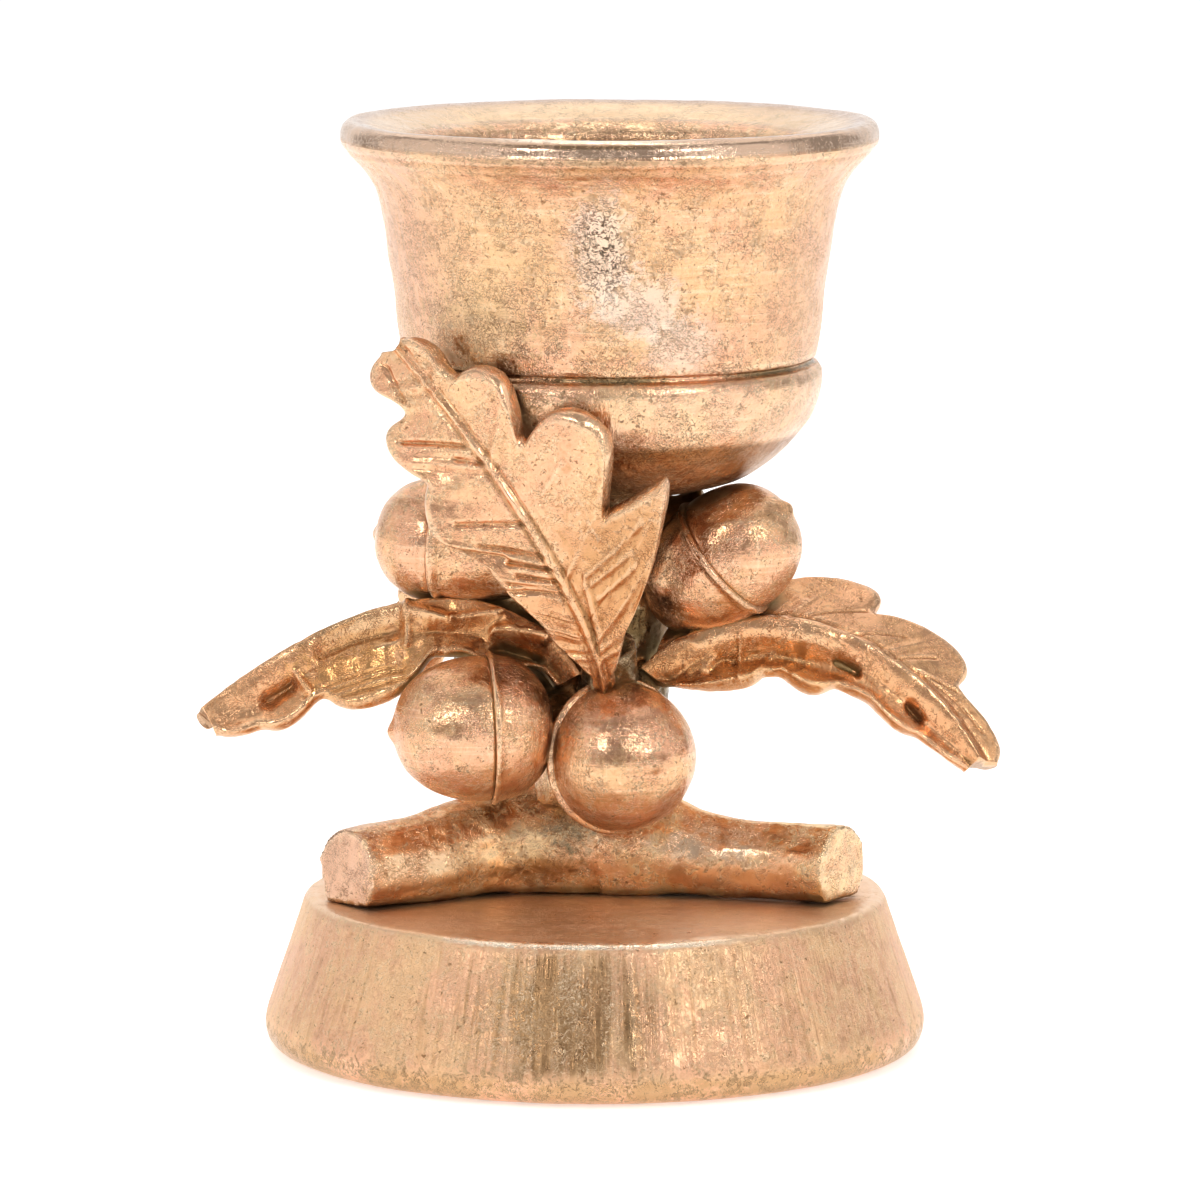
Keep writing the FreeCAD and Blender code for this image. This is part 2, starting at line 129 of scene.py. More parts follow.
def spun(name, profile, centre_x, columns, wobble):
    """A turned form from a closed-off profile of (radius, height) rows; wobble moves its radius with the angle."""
    angles = np.linspace(0, 2 * np.pi, columns, endpoint=False)
    radius = profile[:, 0][:, None] * (1 + wobble(angles)[None, :])
    x = centre_x + radius * np.cos(angles)
    y = radius * np.sin(angles)
    z = np.repeat(profile[:, 1][:, None], columns, axis=1)
    return tube(name, np.stack([x, y, z], axis=2))


def smooth_line(points, count):
    """Even points on a smooth line through given points."""
    points = np.asarray(points, float)
    runs = np.concatenate([[0], np.cumsum(np.linalg.norm(np.diff(points, axis=0), axis=1))])
    slopes = np.gradient(points, runs, axis=0)
    wanted = np.linspace(0, runs[-1], count)
    index = np.clip(np.searchsorted(runs, wanted, side="right") - 1, 0, len(runs) - 2)
    run = (runs[index + 1] - runs[index])[:, None]
    share = (wanted - runs[index])[:, None] / run
    square, cube = share ** 2, share ** 3
    before = points[index] * (2 * cube - 3 * square + 1) + slopes[index] * run * (cube - 2 * square + share)
    after = points[index + 1] * (3 * square - 2 * cube) + slopes[index + 1] * run * (cube - square)
    return before + after


def rows_through(profile, step):
    """A profile with points added so that none of its runs is longer than a step."""
    rows = [profile[0]]
    for start, end in zip(profile, profile[1:]):
        count = max(1, math.ceil(math.dist(start, end) / step))
        for part in range(1, count + 1):
            rows.append(tuple(first + (last - first) * part / count for first, last in zip(start, end)))
    return np.array(rows)


def rippled(count, seed):
    """A smooth closed random line over a turn, as a function of the angle."""
    source = np.random.default_rng(seed)
    sizes = source.normal(size=count) / (1 + np.arange(count))
    phases = source.uniform(0, 2 * np.pi, count)

    def line(angles):
        return sum(size * np.sin((order + 1) * angles + phase)
                   for order, (size, phase) in enumerate(zip(sizes, phases)))

    return line


def random_line(step, seed):
    """A smooth random line of a length, with about one bend in each step."""
    heights = np.random.default_rng(seed).normal(size=LINE_HEIGHTS)

    def line(places):
        at = np.abs(np.asarray(places) / step) + 7
        low = np.floor(at).astype(int) % (LINE_HEIGHTS - 1)
        share = at - np.floor(at)
        share = share * share * (3 - 2 * share)
        return heights[low] * (1 - share) + heights[low + 1] * share

    return line


def unit(vectors):
    """Vectors made one long."""
    return vectors / np.maximum(np.linalg.norm(vectors, axis=-1, keepdims=True), 1e-9)


def circle_about(axis, sides):
    """Points of a circle of radius 1 that lies square to an axis."""
    axis = Vector(axis).normalized()
    helper = Vector((0, 0, 1)) if abs(axis.z) < 0.9 else Vector((0, 1, 0))
    across = axis.cross(helper).normalized()
    beside = axis.cross(across).normalized()
    angles = np.linspace(0, 2 * np.pi, sides, endpoint=False)[:, None]
    return np.cos(angles) * np.array(across) + np.sin(angles) * np.array(beside)


# Node helpers

class Term:
    """A socket in a node tree that can be used in sums."""

    def __init__(self, tree, socket):
        self.tree = tree
        self.socket = socket

    def sum(self, operation, *values):
        node = self.tree.nodes.new("ShaderNodeMath")
        node.operation = operation
        for socket, value in zip(node.inputs, values):
            feed(self.tree, socket, value)
        return Term(self.tree, node.outputs[0])

    def swing(self, size):
        """How far a noise is from its middle, times a size."""
        return (self - 0.5) * size

    def __abs__(self):
        return self.sum("ABSOLUTE", self)


def as_method(operation, turned):
    """A sum as a method of its term, which comes last where the sum is turned round."""
    return lambda term, other: term.sum(operation, *((other, term) if turned else (term, other)))


for sign, operation in (("add", "ADD"), ("sub", "SUBTRACT"), ("mul", "MULTIPLY"), ("truediv", "DIVIDE")):
    setattr(Term, f"__{sign}__", as_method(operation, False))
    setattr(Term, f"__r{sign}__", as_method(operation, True))


def feed(tree, socket, value):
    """Links a term to a socket, or sets the socket's own value. Colours are opaque."""
    if isinstance(value, Term):
        tree.links.new(value.socket, socket)
    elif hasattr(socket, "default_value"):
        socket.default_value = (*value, 1) if socket.type == "RGBA" else value


class Maker:
    """Makes the nodes of one tree."""

    def __init__(self, tree):
        self.tree = tree

    def fill(self, node, inputs):
        """Feeds a node's inputs by their names or numbers."""
        for name, value in inputs.items():
            feed(self.tree, node.inputs[name], value)

    def node(self, kind, settings=None, inputs=None, out=0):
        """A node with its settings and inputs, as a term of one of its outputs."""
        made = self.tree.nodes.new(kind)
        for name, value in (settings or {}).items():
            setattr(made, name, value)
        self.fill(made, inputs or {})
        return Term(self.tree, made.outputs[out])

    def vector(self, operation, *values, out=0):
        """A step of arithmetic on vectors."""
        return self.node("ShaderNodeVectorMath", {"operation": operation}, dict(enumerate(values)), out)

    def scaled(self, value, factor):
        """A vector times a number."""
        return self.node("ShaderNodeVectorMath", {"operation": "SCALE"}, {0: value, "Scale": factor})

    def ramp(self, value, low, high):
        """A value from 0 at low to 1 at high, eased and held at both ends."""
        return self.node("ShaderNodeMapRange", {"interpolation_type": "SMOOTHSTEP"},
                         {"Value": value, "From Min": low, "From Max": high})

    def mixed(self, share, first, second):
        """Two colours mixed by a share. The mix node's colours are its inputs 6 and 7 and its output 2."""
        return self.node("ShaderNodeMix", {"data_type": "RGBA"}, {0: share, 6: first, 7: second}, 2)

    def laid(self, colour, *layers):
        """A colour with more tones laid over it, each by its share."""
        for share, tone in layers:
            colour = self.mixed(share, colour, tone)
        return colour

    def noise(self, place, scale, detail=4.0, roughness=0.55, distortion=0.0):
        """Noise with about one patch in 1 / scale of a unit."""
        return self.node("ShaderNodeTexNoise", {}, {"Vector": place, "Scale": scale, "Detail": detail,
                                                    "Roughness": roughness, "Distortion": distortion})

    def stretched(self, place, scale):
        """Coordinates scaled along each axis."""
        return self.node("ShaderNodeMapping", {}, {"Vector": place, "Scale": scale})

    def bump(self, strength, height):
        """The normal of a surface with a height."""
        return self.node("ShaderNodeBump", {}, {"Strength": strength, "Distance": BUMP_DEPTH * MM, "Height": height})


# Relief and crevices, made with geometry nodes

def group(name, sizes):
    """The maker of a geometry tree and the terms of its inputs: a mesh, sizes with their kinds, and a material."""
    tree = bpy.data.node_groups.new(name, "GeometryNodeTree")
    for size_name, kind in (("Geometry", "Geometry"), *sizes, ("Material", "Material")):
        tree.interface.new_socket(size_name, in_out="INPUT", socket_type="NodeSocket" + kind)
    tree.interface.new_socket("Geometry", in_out="OUTPUT", socket_type="NodeSocketGeometry")
    entry = tree.nodes.new("NodeGroupInput")
    return Maker(tree), {socket.name: Term(tree, socket) for socket in entry.outputs if socket.name}


def finished(make, form, material):
    """The tree, ended in real geometry with its material."""
    real = make.node("GeometryNodeRealizeInstances", {}, {"Geometry": form})
    dressed = make.node("GeometryNodeSetMaterial", {}, {"Geometry": real, "Material": material})
    make.fill(make.tree.nodes.new("NodeGroupOutput"), {0: dressed})
    return make.tree


relief_inputs = ("Lump size", "Lump depth", "Crinkle size", "Crinkle depth", "Seed")


def relief_tree():
    """Moves a surface in and out along its normals: soft lumps, and the fine crinkles of laid leaf."""
    make, size = group("relief", [(name, "Float") for name in relief_inputs])
    place = make.node("GeometryNodeInputPosition")
    seeded = make.vector("ADD", make.scaled(place, 1 / MM), size["Seed"])
    lumps = make.noise(seeded, 1 / size["Lump size"], detail=2.0)
    crinkles = make.noise(seeded, 1 / size["Crinkle size"], detail=3.0, roughness=0.6, distortion=0.6)
    rise = lumps.swing(size["Lump depth"]) + crinkles.swing(size["Crinkle depth"])
    offset = make.scaled(make.node("GeometryNodeInputNormal"), rise * MM)
    moved_form = make.node("GeometryNodeSetPosition", {}, {"Geometry": size["Geometry"], "Offset": offset})
    return finished(make, moved_form, size["Material"])


CREVICE_RAYS = 14
CREVICE_REACH = 7.0
CREVICE_BLUR = 5
CREVICE_LIFT = 0.25
CREVICE_SPREAD = 0.95
GOLDEN_ANGLE = math.pi * (3 - math.sqrt(5))


def crevice_tree():
    """Stores how closely each point is hemmed in by the rest of the holder, from rays about its normal."""
    make, size = group("crevice", [("Around", "Object"), ("Reach", "Float"), ("Blur", "Int")])
    around = make.node("GeometryNodeObjectInfo", {"transform_space": "RELATIVE"}, {"Object": size["Around"]},
                       out="Geometry")
    normal = make.node("GeometryNodeInputNormal")
    place = make.node("GeometryNodeInputPosition")
    start = make.vector("ADD", place, make.scaled(normal, CREVICE_LIFT * MM))
    reach = size["Reach"] * MM
    total = None
    for turn in range(CREVICE_RAYS):
        height = 1 - 2 * (turn + 0.5) / CREVICE_RAYS
        angle = turn * GOLDEN_ANGLE
        flat = math.sqrt(1 - height * height)
        way = (flat * math.cos(angle), flat * math.sin(angle), height)
        heading = make.vector("ADD", normal, tuple(CREVICE_SPREAD * part for part in way))
        hit = make.node("GeometryNodeRaycast", {}, {"Target Geometry": around, "Source Position": start,
                                                    "Ray Direction": heading, "Ray Length": reach}, "Is Hit")
        shade = hit * (1 - Term(make.tree, hit.socket.node.outputs["Hit Distance"]) / reach)
        total = shade if total is None else total + shade
    stored = make.node("GeometryNodeStoreNamedAttribute", {"data_type": "FLOAT", "domain": "POINT"},
                       {"Geometry": size["Geometry"], "Name": "crevice", "Value": total / CREVICE_RAYS})
    blurred = make.node("GeometryNodeBlurAttribute", {"data_type": "FLOAT_VECTOR"}, {"Iterations": size["Blur"]})
    make.fill(blurred.socket.node, {"Value": place})
    proud = make.vector("DOT_PRODUCT", make.vector("SUBTRACT", place, blurred), normal, out="Value")
    raised = make.node("GeometryNodeStoreNamedAttribute", {"data_type": "FLOAT", "domain": "POINT"},
                       {"Geometry": stored, "Name": "proud", "Value": proud / MM})
    return finished(make, raised, size["Material"])


def through_tree(piece, tree, values):
    """The piece with its mesh passed through a geometry tree, and no modifier left on it."""
    modifier = piece.modifiers.new("form", "NODES")
    modifier.node_group = tree
    for item in tree.interface.items_tree:
        if item.name in values:
            modifier[item.identifier] = values[item.name]
    return baked(piece)


# Leaves: the same curves as in the drawing, drawn finely

leaf_thickness = 2.4
leaf_root_width = 3.4
leaf_fade = 0.15
last_rib = 0.985
leaf_size = {"front_leaf": 42.0, "left_leaf": 42.0, "right_leaf": 42.0, "rear_leaf": 36.0}
# Shares of the leaf's size along its midrib. Pairs are for its two sides. A lobe has a start, a peak, an end, a reach
# and a roundness. A stroke of relief goes from a place and a distance out to another, with its height and width.
leaf_shares = {
    "front_leaf": {
        "midrib": [(-0.01, -0.3, 0.01), (-0.03, -0.5, 0.22), (-0.26, -0.62, 0.62), (-0.53, -0.34, 0.895)],
        "facing": [(0, -1, 0), (-0.45, -0.85, 0.1)],
        "folds": (10, -4), "cups": (0.25, 0), "leans": (38, 43), "webs": [(0.155, 0.106), (0.125, 0.182)],
        "lobes": [
            [(0.11, 0.19, 0.478, 0.49, 1.05), (0.343, 0.379, 0.626, 0.4, 1.9),
             (0.568, 0.685, 0.852, 0.23, 1.45), (0.818, 0.878, 0.992, 0.1, 1.63)],
            [(0.137, 0.351, 0.45, 0.215, 1.68), (0.332, 0.428, 0.733, 0.32, 1.61),
             (0.566, 0.681, 0.825, 0.276, 2.22), (0.795, 0.89, 0.995, 0.178, 1.6)]],
        "rims": (0.15, 0.15), "hollows": (0.25, 0.25), "grooves": (0.16, 0.16), "groove_end": 0.42,
        "ridge": (0.6, 0.45), "veins": (1, 1),
        "strokes": [
            [(0.521, 4.6, 0.486, 9.6, 0.25, 0.35), (0.329, 3.8, 0.231, 14.9, 0.38, 0.4),
             (0.302, 4, 0.233, 11.4, 0.32, 0.35), (0.263, 3.9, 0.206, 10.9, 0.32, 0.35),
             (0.319, 3.2, 0.13, 0.8, 0.4, 0.45)],
            [(0.486, 9.2, 0.533, 0.8, -0.35, 0.35), (0.727, 8.7, 0.732, 1.5, -0.45, 0.35),
             (0.4, 12.2, 0.413, 5.6, -0.4, 0.35), (0.393, 5.6, 0.413, 0.7, -0.4, 0.3),
             (0.359, 5.4, 0.376, 0.8, -0.4, 0.3), (0.325, 7, 0.355, 0.9, -0.35, 0.3),
             (0.292, 8.4, 0.341, 1.1, -0.35, 0.3), (0.43, 8, 0.45, 1, -0.3, 0.3),
             (0.69, 3.6, 0.69, 0.5, -0.25, 0.3), (0.946, 3.2, 0.85, 4.6, -0.3, 0.35)]],
    },
    "left_leaf": {
        "midrib": [(-0.1, -0.17, 0), (-0.34, -0.1, 0.35), (-0.79, -0.08, 0.09), (-1.04, -0.16, -0.1)],
        "facing": [(0, -0.35, 1), (-0.3, -0.5, 1)],
        "folds": (-34, -48), "cups": (-0.3, -0.5), "leans": (35, 20), "webs": [(0.12, 0.08), (0.1, 0.15)],
        "lobes": [
            [(0.03, 0.22, 0.36, 0.18, 2), (0.32, 0.47, 0.6, 0.22, 2),
             (0.57, 0.72, 0.84, 0.17, 2), (0.8, 0.9, 1, 0.08, 2)],
            [(0.05, 0.2, 0.32, 0.12, 2), (0.34, 0.52, 0.7, 0.2, 2.5),
             (0.62, 0.78, 0.9, 0.145, 2), (0.84, 0.92, 1, 0.08, 2)]],
        "rims": (0.3, 0.5), "hollows": (0.3, 0.5), "grooves": (0.05, 0.04), "groove_end": 1.2,
        "ridge": (1.1, 1.1), "long_grooves": 0.08, "veins": (0.4, 0),
        "strokes": [
            [],
            [(0.449, 0.7, 0.324, 1.5, 0.75, 0.4), (0.324, 1.5, 0.226, 0.6, 0.75, 0.4),
             (0.206, 1.6, 0.101, 0.4, 1, 0.6), (0.169, 2.9, 0.074, 1, -1.4, 0.6),
             (0.074, 1, 0, 0.9, -0.7, 0.5), (0.658, 0.8, 0.479, 1.2, -1.4, 1),
             (0.82, 2.4, 0.761, 2.4, -1.4, 0.8), (0.737, 1.9, 0.712, 4, 0.5, 0.4),
             (0.445, 0.2, 0.44, 3, 0.5, 0.45), (0.72, 5, 0.45, 5.8, -0.28, 0.25),
             (0.72, 5.9, 0.4, 6.9, -0.28, 0.25), (0.73, 4.2, 0.47, 5.2, -0.22, 0.25)]],
    },
    "right_leaf": {
        "midrib": [(0.11, -0.17, 0.01), (0.34, -0.12, 0.24), (0.74, -0.14, 0.14), (0.95, -0.2, -0.22)],
        "facing": [(0, -0.35, 1), (0.3, -0.6, 1)],
        "folds": (-48, 3), "cups": (0.3, 0.2), "leans": (20, 32), "webs": [(0.15, 0.1), (0.22, 0.14)],
        "lobes": [
            [(0, 0.2, 0.36, 0.16, 2.2), (0.3, 0.46, 0.6, 0.165, 2),
             (0.58, 0.74, 0.88, 0.12, 2), (0.84, 0.92, 1, 0.05, 2)],
            [(0.03, 0.16, 0.27, 0.21, 2), (0.22, 0.4, 0.53, 0.29, 2.4),
             (0.47, 0.66, 0.79, 0.245, 2.4), (0.74, 0.89, 1, 0.14, 2.2)]],
        "rims": (0.9, 0.1), "hollows": (0.9, 0.2), "grooves": (0.05, 0.03), "groove_end": 1.2,
        "ridge": (0.9, 0.9), "veins": (0, 0.7),
        "strokes": [
            [(0.268, 1.6, 0.189, 6.2, 0.6, 0.4), (0.25, 6, 0.349, 3, 0.32, 0.35),
             (0.32, 6, 0.403, 3.8, 0.32, 0.35), (0.38, 6.3, 0.457, 4.2, 0.32, 0.35),
             (0.562, 1.8, 0.619, 2, -1.2, 0.5), (0.784, 1.8, 0.82, 2, -1, 0.5),
             (0.118, 3.8, 0.192, 2.6, -0.6, 0.6), (0.15, 1, 0.55, 1, 0.5, 0.8),
             (0.22, 3.4, 0.55, 3.2, -1.3, 1.4)],
            [(0.459, 1.7, 0.69, 0.5, -0.25, 0.3), (0.698, 6, 0.684, 0.5, -0.25, 0.25),
             (0.801, 4.3, 0.7, 0.5, -0.25, 0.25), (0.909, 3.5, 0.744, 2, -0.2, 0.25),
             (0.62, 6, 0.56, 0.8, -0.2, 0.25), (0.5, 7, 0.42, 0.8, -0.2, 0.25)]],
    },
    "rear_leaf": {
        "midrib": [(-0.11, 0.2, 0.16), (-0.22, 0.42, 0.42), (-0.52, 0.74, 0.26), (-0.62, 0.92, -0.12)],
        "facing": [(-0.1, 0.35, 1), (-0.4, 0.5, 1)],
        "folds": (-14, -14), "cups": (-0.2, -0.2), "leans": (34, 34), "webs": [(0.2, 0.12), (0.2, 0.12)],
        "lobes": [
            [(0.03, 0.17, 0.3, 0.24, 2), (0.24, 0.42, 0.56, 0.33, 2.2),
             (0.52, 0.69, 0.81, 0.26, 2.2), (0.77, 0.9, 1, 0.12, 2)],
            [(0.03, 0.19, 0.32, 0.25, 2), (0.27, 0.45, 0.59, 0.32, 2.2),
             (0.55, 0.71, 0.83, 0.24, 2.2), (0.78, 0.9, 1, 0.12, 2)]],
        "rims": (0.3, 0.3), "hollows": (0.4, 0.4), "grooves": (0.15, 0.15), "groove_end": 0.8,
        "ridge": (0.7, 0.5), "veins": (1, 1),
        "strokes": [[], []],
    },
}
LEAF_RIBS = 300
FLAT_STEPS = 42
ROUND_STEPS = 6
SOFTENED = 9


def post_point(shares, size):
    """A point from the middle of the cluster, in shares of a size."""
    return np.array([POST_X + shares[0] * size, shares[1] * size, CLUSTER_HEIGHT + shares[2] * size])


def midrib_at(controls, places):
    """Points, slopes and speeds on the midrib's cubic curve; past the tip it runs straight on."""
    inside = np.minimum(places, 1)[..., None]
    rest = 1 - inside
    a, b, c, d = controls
    points = a * rest ** 3 + b * (3 * rest ** 2 * inside) + c * (3 * rest * inside ** 2) + d * inside ** 3
    slopes = (b - a) * (3 * rest ** 2) + (c - b) * (6 * rest * inside) + (d - c) * (3 * inside ** 2)
    points = points + slopes * (places[..., None] - inside)
    return points, unit(slopes), np.linalg.norm(slopes, axis=-1)


def reach_at(lobes, webs, places, size):
    """Half width of the blade along the midrib."""
    closing = np.sqrt(np.maximum(1 - places ** 6, 0))
    web = size * (webs[0] + (webs[1] - webs[0]) * places) * np.minimum(places / leaf_fade, 1)
    width = np.maximum(web, leaf_root_width / 2) * closing
    for start, peak, end, reach, roundness in lobes:
        offset = np.abs(places - peak) / np.where(places < peak, peak - start, end - peak)
        inside = np.clip(1 - offset ** roundness, 0, 1) ** (1 / roundness)
        width = np.maximum(width, size * reach * inside)
    return width


def blade_at(leaf, size, controls, places, side, distance):
    """Points of the middle of the blade and the way that its face looks, for one side."""
    index = 0 if side > 0 else 1
    lean = math.radians(leaf["leans"][index])
    _, _, speed = midrib_at(controls, places)
    points, along, _ = midrib_at(controls, places + distance * math.sin(lean) / speed)
    root_facing, tip_facing = (np.array(facing) for facing in leaf["facing"])
    facing = root_facing * (1 - places[..., None]) + tip_facing * places[..., None]
    across = unit(np.cross(along, facing))
    normal = unit(np.cross(across, along))
    spread = distance * math.cos(lean)
    fold = math.radians(leaf["folds"][index])
    cup = leaf["cups"][index] * spread ** 2 / size
    slope = np.arctan(2 * leaf["cups"][index] * spread / size)
    points = points + across * (side * spread * math.cos(fold))[..., None]
    points = points + normal * (spread * math.sin(fold) + cup)[..., None]
    tilt = (fold + slope) * np.minimum(distance / leaf_thickness, 1)
    outward = normal * np.cos(tilt)[..., None] - across * (side * np.sin(tilt))[..., None]
    return points, outward


def bell(values, width):
    """A bump that is 1 at 0 and falls away over a width."""
    return np.exp(-(values / width) ** 2)


def leaf_relief(leaf, size, places, side, distance, reach, seed):
    """Height of the veins, grooves and hollows on the upper face."""
    index = 0 if side > 0 else 1
    out = distance / np.maximum(reach, 0.1)
    thin = 1 - 0.55 * places
    ridge_height, ridge_width = leaf["ridge"]
    rise = ridge_height * thin * bell(distance, ridge_width) - 0.28 * thin * bell(distance - 2 * ridge_width, 0.4)
    for start, peak, end, share, _ in leaf["lobes"][index]:
        along = (places - peak + 0.02 * out) * size
        vein = bell(along, 0.35) * (1 - out ** 2) * np.minimum(distance / 1.2, 1)
        beside = 0.14 * bell(np.abs(along) - 0.8, 0.4) * (1 - out ** 2)
        rise += leaf["veins"][index] * (0.18 * vein * min(1, share * 5) - beside)
        offset = np.clip(np.abs(places - peak) / np.where(places < peak, peak - start, end - peak), 0, 1)
        rise += leaf["hollows"][index] * (1 - offset ** 2) * np.minimum(out, 0.8) * 0.8
    for lobe, after in zip(leaf["lobes"][index], leaf["lobes"][index][1:]):
        notch = (lobe[2] + after[0]) / 2
        rise -= 0.4 * bell((places - notch) * size, 1.0) * np.clip(out * 1.6 - 0.5, 0, 1)
    for start_place, start_out, end_place, end_out, stroke_height, stroke_width in leaf["strokes"][index]:
        run = np.array([(end_place - start_place) * size, end_out - start_out])
        from_start = np.stack([(places - start_place) * size, distance - start_out], axis=-1)
        share = np.clip(from_start @ run / (run @ run), 0, 1)
        away = np.linalg.norm(from_start - share[..., None] * run, axis=-1)
        rise += stroke_height * bell(away, stroke_width)
    fan = random_line(0.85, seed)
    finer = random_line(0.34, seed + 1)
    wander = random_line(5.0, seed + 2)
    at = places * size + 0.35 * wander(distance + 40 * places) + 0.06 * distance
    fading = np.clip((leaf["groove_end"] - places) / 0.2, 0, 1) * np.minimum(distance / 1.5, 1) * (1 - out ** 6)
    rise += leaf["grooves"][index] * (0.5 * fan(at) + 0.3 * finer(at)) * fading
    length_wise = random_line(0.8, seed + 3)
    along_it = length_wise(distance + 0.8 * wander(places * size))
    rise += leaf.get("long_grooves", 0.0) * 0.6 * along_it * (1 - out ** 4)
    rim = leaf["rims"][index]
    raised = rim * np.clip((out - 0.62) / 0.25, 0, 1) ** 2 * np.clip(reach / 3, 0, 1)
    rise += raised - rim * 0.9 * bell(out - 0.45, 0.25)
    return rise


def make_leaf(name, seed):
    """A lobed blade with a rounded edge, its veins and grooves on the upper face."""
    leaf = leaf_shares[name]
    size = leaf_size[name]
    controls = [post_point(shares, size) for shares in leaf["midrib"]]
    places = np.linspace(0, last_rib, LEAF_RIBS)
    half = leaf_thickness / 2
    flat = np.linspace(0, 1, FLAT_STEPS + 1) ** 0.85
    turns = np.linspace(0, np.pi / 2, ROUND_STEPS + 1)[1:]
    bands = {}
    for side, lobes, webs in zip((1, -1), leaf["lobes"], leaf["webs"]):
        padded = np.pad(reach_at(lobes, webs, places, size), SOFTENED // 2, mode="edge")
        reach = np.convolve(padded, np.ones(SOFTENED) / SOFTENED, "valid")[:, None]
        round_width = np.minimum(half, reach)
        level_distance = (reach - round_width) * flat[None, :]
        edge_distance = (reach - round_width) + round_width * np.sin(turns)[None, :]
        distance = np.concatenate([level_distance, edge_distance], axis=1)
        level = np.concatenate([np.full(level_distance.shape, half),
                                np.repeat(half * np.cos(turns)[None, :], len(places), axis=0)], axis=1)
        grid = np.repeat(places[:, None], distance.shape[1], axis=1)
        rise = leaf_relief(leaf, size, grid, side, distance, np.repeat(reach, distance.shape[1], axis=1), seed)
        rise = rise * np.clip(level / half, 0, 1)
        points, outward = blade_at(leaf, size, controls, grid, side, distance)
        bands[side] = (points + outward * (level + rise)[..., None],
                       points - outward * (level + 0.25 * rise)[..., None])
    upper = np.concatenate([bands[-1][0][:, ::-1], bands[1][0][:, 1:]], axis=1)
    under = np.concatenate([bands[1][1][:, -2::-1], bands[-1][1][:, 1:-1]], axis=1)
    return tube(name + "_blade", np.concatenate([upper, under], axis=1))


# Acorns

acorn_radius = 7.9
# middle of the seam, direction of the nut, then shares for the radius, the nut's length and the cap's
acorn_shares = {
    "front_left_acorn": [(-1.63, -1.53, -0.52), (-0.99, -0.12, -0.02), 1, 1.3, 0.88],
    "front_right_acorn": [(0.14, -1.42, -0.92), (0.45, -0.88, 0.05), 1.02, 1.08, 0.62],
    "upper_left_acorn": [(-2.24, -0.2, 1.88), (-0.95, 0.28, 0.05), 0.86, 0.96, 1.55],
    "upper_right_acorn": [(1.62, -0.6, 1.72), (0.75, -0.22, 0.62), 0.88, 1.08, 1.3],
    "rear_lower_acorn": [(-0.58, 1.3, -0.48), (-0.45, 0.88, -0.1), 0.98, 1.25, 0.74],
    "rear_upper_acorn": [(0.42, 1.4, 1.42), (0.3, 0.93, 0.15), 0.9, 1.1, 0.95],
}
dome_roundness = 2.25
ACORN_COLUMNS = 150
ACORN_ROWS = 70


def acorn_half(name, seam, axis, radius, length, sign, nib):
    """One half of an acorn, from its seam to its crown, with a flat inner face."""
    turns = np.linspace(0, np.pi / 2, ACORN_ROWS)
    spread = radius * np.cos(turns) ** (2 / dome_roundness)
    lift = length * np.sin(turns) ** (2 / dome_roundness)
    lift = lift + nib * bell(spread, 1.1)
    lip = 0.4 * bell(lift - 0.35, 0.4) if sign < 0 else -0.12 * bell(lift, 0.4)
    spread = np.maximum(spread + lip * (spread > radius / 2), 0.01)
    circle = circle_about(axis, ACORN_COLUMNS)
    rings = seam + axis * (sign * lift)[:, None, None] + circle[None, :, :] * spread[:, None, None]
    return tube(name, rings)


def make_acorn(name):
    """The nut and the cap of one acorn."""
    place, direction, radius_share, nut_share, cap_share = acorn_shares[name]
    seam = post_point(place, acorn_radius)
    axis = unit(np.array(direction))
    radius = acorn_radius * radius_share
    nut = acorn_half(name + "_kernel", seam, axis, radius, acorn_radius * nut_share, 1, 0.7)
    cap = acorn_half(name + "_cup", seam, axis, radius + 0.05, acorn_radius * cap_share, -1, 0.0)
    return nut, cap


# Branch and stem

branch_width = 9.8
branch_end_height = 8.3
branch_hub_height = 12.4
flat_chord = 0.7
# from the sawn face to the hub: place across and away, share of the width, share of the height
arm_shares = {
    "left": [(-0.849, -0.305, 1, 0), (-0.6, -0.167, 0.9, 0.3), (-0.409, -0.038, 0.9, 0.55),
             (-0.22, 0.03, 1.05, 0.85), (0.041, 0.03, 1.2, 1)],
    "right": [(0.842, -0.22, 1.05, 0.05), (0.655, -0.128, 0.95, 0.02), (0.47, -0.075, 0.95, 0.08),
              (0.27, -0.02, 1.05, 0.5), (0.041, 0.02, 1.2, 1)],
    "rear": [(-0.06, 0.86, 0.95, 0), (-0.01, 0.64, 0.9, 0.15), (0.03, 0.43, 0.95, 0.4),
             (0.04, 0.23, 1.05, 0.8), (0.041, 0.02, 1.2, 1)],
}
sawn_angles = {"left": 218.0, "right": -31.0, "rear": 104.0}
BASE_TOP_RADIUS = 31.8
ARM_STATIONS = 70
ARM_SIDES = 72
ARM_RUN = 26.0
MELT = 0.3


